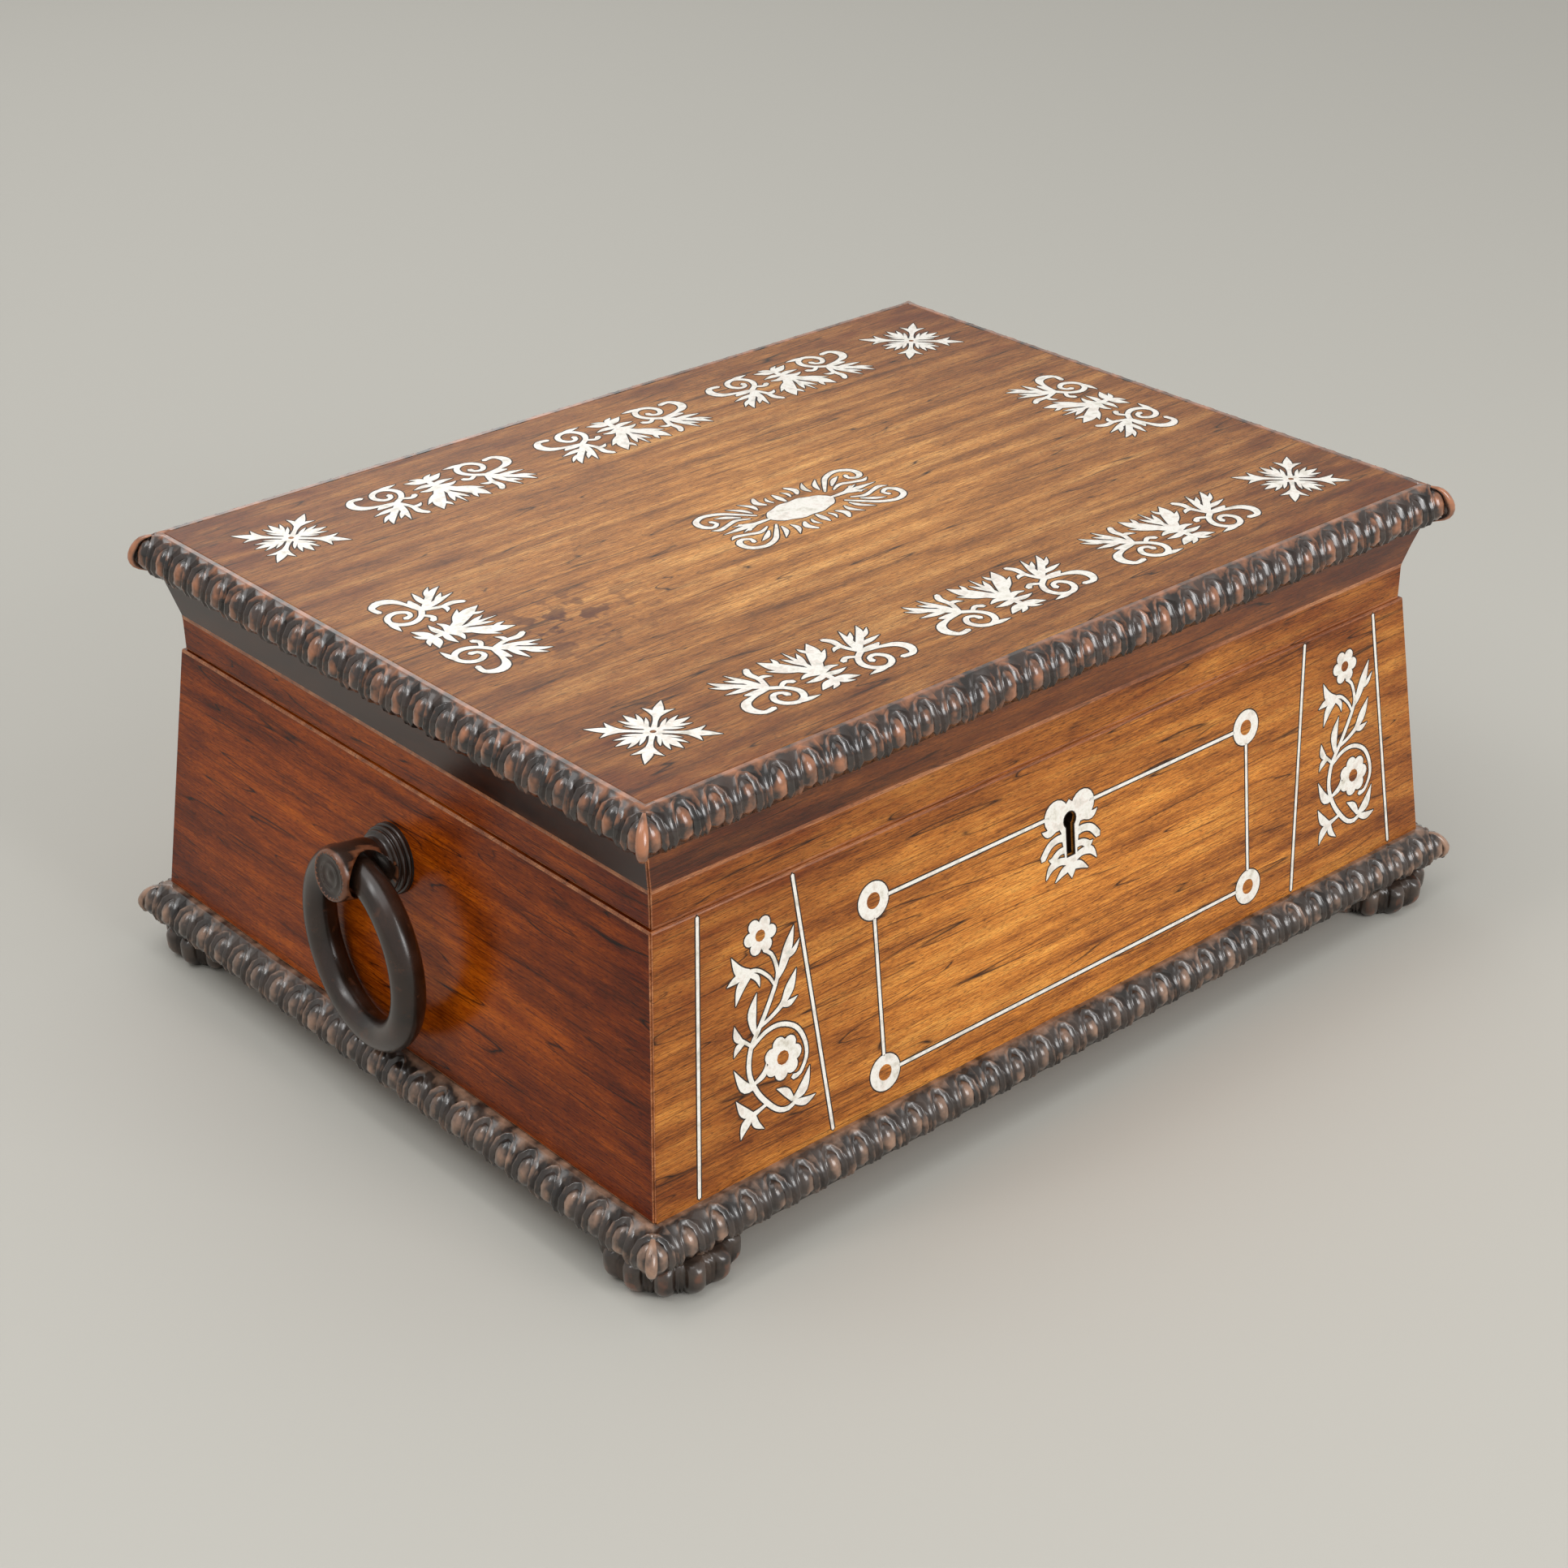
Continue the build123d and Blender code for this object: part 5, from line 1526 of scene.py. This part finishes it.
def ruched(x, y):
    """Height of the gathered silk: pleats that run to the button and flatten at the edges."""
    angle = atan2(y * pad_ratio, x)
    away = hypot(x, y * pad_ratio)
    pleat = 0.5 + 0.5 * sin(pleats * angle + 2.2 * sin(5 * angle) + 3 * away)
    fade = min(1.0, away / 0.12) * min(1.0, max(0.0, (1.0 - max(abs(x), abs(y))) / 0.04))
    button = button_height * hill(away, button_reach)
    return max(button, 0.12 + fade * (0.34 + 0.5 * pleat * (1.1 - 0.5 * away)))


lid_silk = padded_box("lid_silk", pad_low, pad_high, -1, ruched)
settle(lid_silk, "lid", "silk", "lid_pad")
print("pleats", pleats, "on a panel", round((pad_high.x - pad_low.x) / MM), "mm long")

# %% [markdown]
# The cushion is stuffed hard, and one stitch in the middle draws it down a little.

# %% The pincushion
cushion_low, cushion_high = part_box("pincushion")
cushion_ratio = 2.4


def stuffed(x, y):
    """Height of the cushion: full in the middle, and drawn down at its edges and its button."""
    full = (max(0.0, 1 - x ** 6) * max(0.0, 1 - y ** 4)) ** 0.3
    away = hypot(x * cushion_ratio, y)
    pull = 0.16 * exp(-(away / 0.25) ** 2)
    creases = 0.02 * sin(9 * atan2(y, x * cushion_ratio)) * exp(-away * 1.5)
    return 0.62 + 0.36 * full - pull * full + creases * full


pincushion = padded_box("silk_pincushion", cushion_low, cushion_high, 1, stuffed)
settle(pincushion, "tray", "silk", "pincushion")
print("cushion", [round(c / MM, 1) for c in cushion_high - cushion_low], "mm")

# %% [markdown]
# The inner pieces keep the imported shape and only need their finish. It goes on their object
# slots, because nodes of the same shape may share one mesh.

# %% Finishes of the inner pieces
finishes = (
    (cedar["X"], ("lining_front", "lining_back", "tray_floor", "tray_front", "tray_back")),
    (cedar["X"], ("tray_divider_front", "tray_divider_back", "case_bottom")),
    (cedar["Y"], ("lining_left", "lining_right", "tray_left", "tray_right")),
    (cedar["Y"], ("tray_divider_left", "tray_divider_right")),
    (brass, ("lock_case", "link_plate", "hinge_case_leaf_left", "hinge_case_leaf_right")),
    (brass, ("hinge_lid_leaf_left", "hinge_lid_leaf_right")),
    (steel, ("lock_bolt", "hinge_pin_left", "hinge_pin_right")),
)
for finish, names in finishes:
    for name in names:
        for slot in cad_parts[name].material_slots:
            slot.link = "OBJECT"
            slot.material = finish
print("finished nodes", sum(len(names) for _, names in finishes))

# %% [markdown]
# The box stands on a plain pale grey sweep of paper, which is matt and shows a soft shadow.
# The light is that of a large soft box above and to the left of the camera, with the room's
# own light from everywhere else.

# %% Floor and room
floor_half = 20.0
square = ((-1, -1), (1, -1), (1, 1), (-1, 1))
floor_points = [(x * floor_half, y * floor_half, 0.0) for x, y in square]
floor = new_piece("floor", floor_points, [(0, 1, 2, 3)], smooth_to=0)
paper, tree, shader = new_material("grey_paper_sweep")
plug(tree, shader, {"Base Color": linear("#b9b7b0"), "Roughness": 0.7})
floor.data.materials.append(paper)

world = bpy.data.worlds.new("room")
bpy.context.scene.world = world
world.use_nodes = True
room_light = world.node_tree.nodes["Background"]
plug(world.node_tree, room_light, {"Color": linear("#f2f1ee"), "Strength": 0.68})
print("floor", 2 * floor_half, "m wide")

# %% [markdown]
# Five area lamps light the box. Wide ones give soft shadows, and the two narrow strips lay
# the thin highlights along the carving and the rings.

# %% Lamps
lamps = (
    # Name, place, the point it faces, size in metres and power in watts.
    ("soft_box_front_right", (0.2, -1.5, 0.7), (0, 0, 0.06), (0.9, 0.6), 10.0),
    ("soft_box_overhead", (-0.5, 0.1, 1.7), (-0.1, 0, 0), (1.6, 1.4), 11.0),
    ("window_behind_left", (0.45, 1.35, 0.75), (-0.05, 0.05, 0.14), (0.9, 0.6), 1.5),
    ("strip_front", (-0.1, -1.5, 1.2), (0, 0, 0.1), (0.14, 0.9), 4.0),
    ("strip_high_left", (-0.9, 0.2, 1.2), (0, 0, 0.1), (0.14, 0.6), 2.5),
)
for name, place, target, size, power in lamps:
    lamp = bpy.data.lights.new(name, "AREA")
    lamp.shape = "RECTANGLE"
    lamp.size, lamp.size_y = size
    lamp.energy = power
    holder = in_scene(name, lamp)
    holder.location = place
    way = Vector(target) - Vector(place)
    holder.rotation_euler = way.to_track_quat("-Z", "Y").to_euler()
print("lamps", len(lamps))

# %% [markdown]
# The camera stands where the photograph was taken from. Its place and lens were found by
# fitting the corners of the box to the picture.

# %% Camera
camera = bpy.data.cameras.new("camera")
camera.sensor_width = 36.0
camera.lens = 67.83
camera.clip_start = 0.05
viewer = in_scene("camera", camera)
camera_place = (-0.5384, -0.6048, 0.4827)
turn, down, roll = radians(41.28), radians(28.22), radians(-0.41)
aim = Matrix.Rotation(-turn, 4, "Z") @ Matrix.Rotation(pi / 2 - down, 4, "X")
aim = aim @ Matrix.Rotation(roll, 4, "Z")
viewer.matrix_world = Matrix.Translation(camera_place) @ aim
bpy.context.scene.camera = viewer
bpy.context.scene.view_settings.view_transform = "Standard"
print("camera", round(camera.lens, 2), "mm lens at", [round(c, 3) for c in viewer.location])
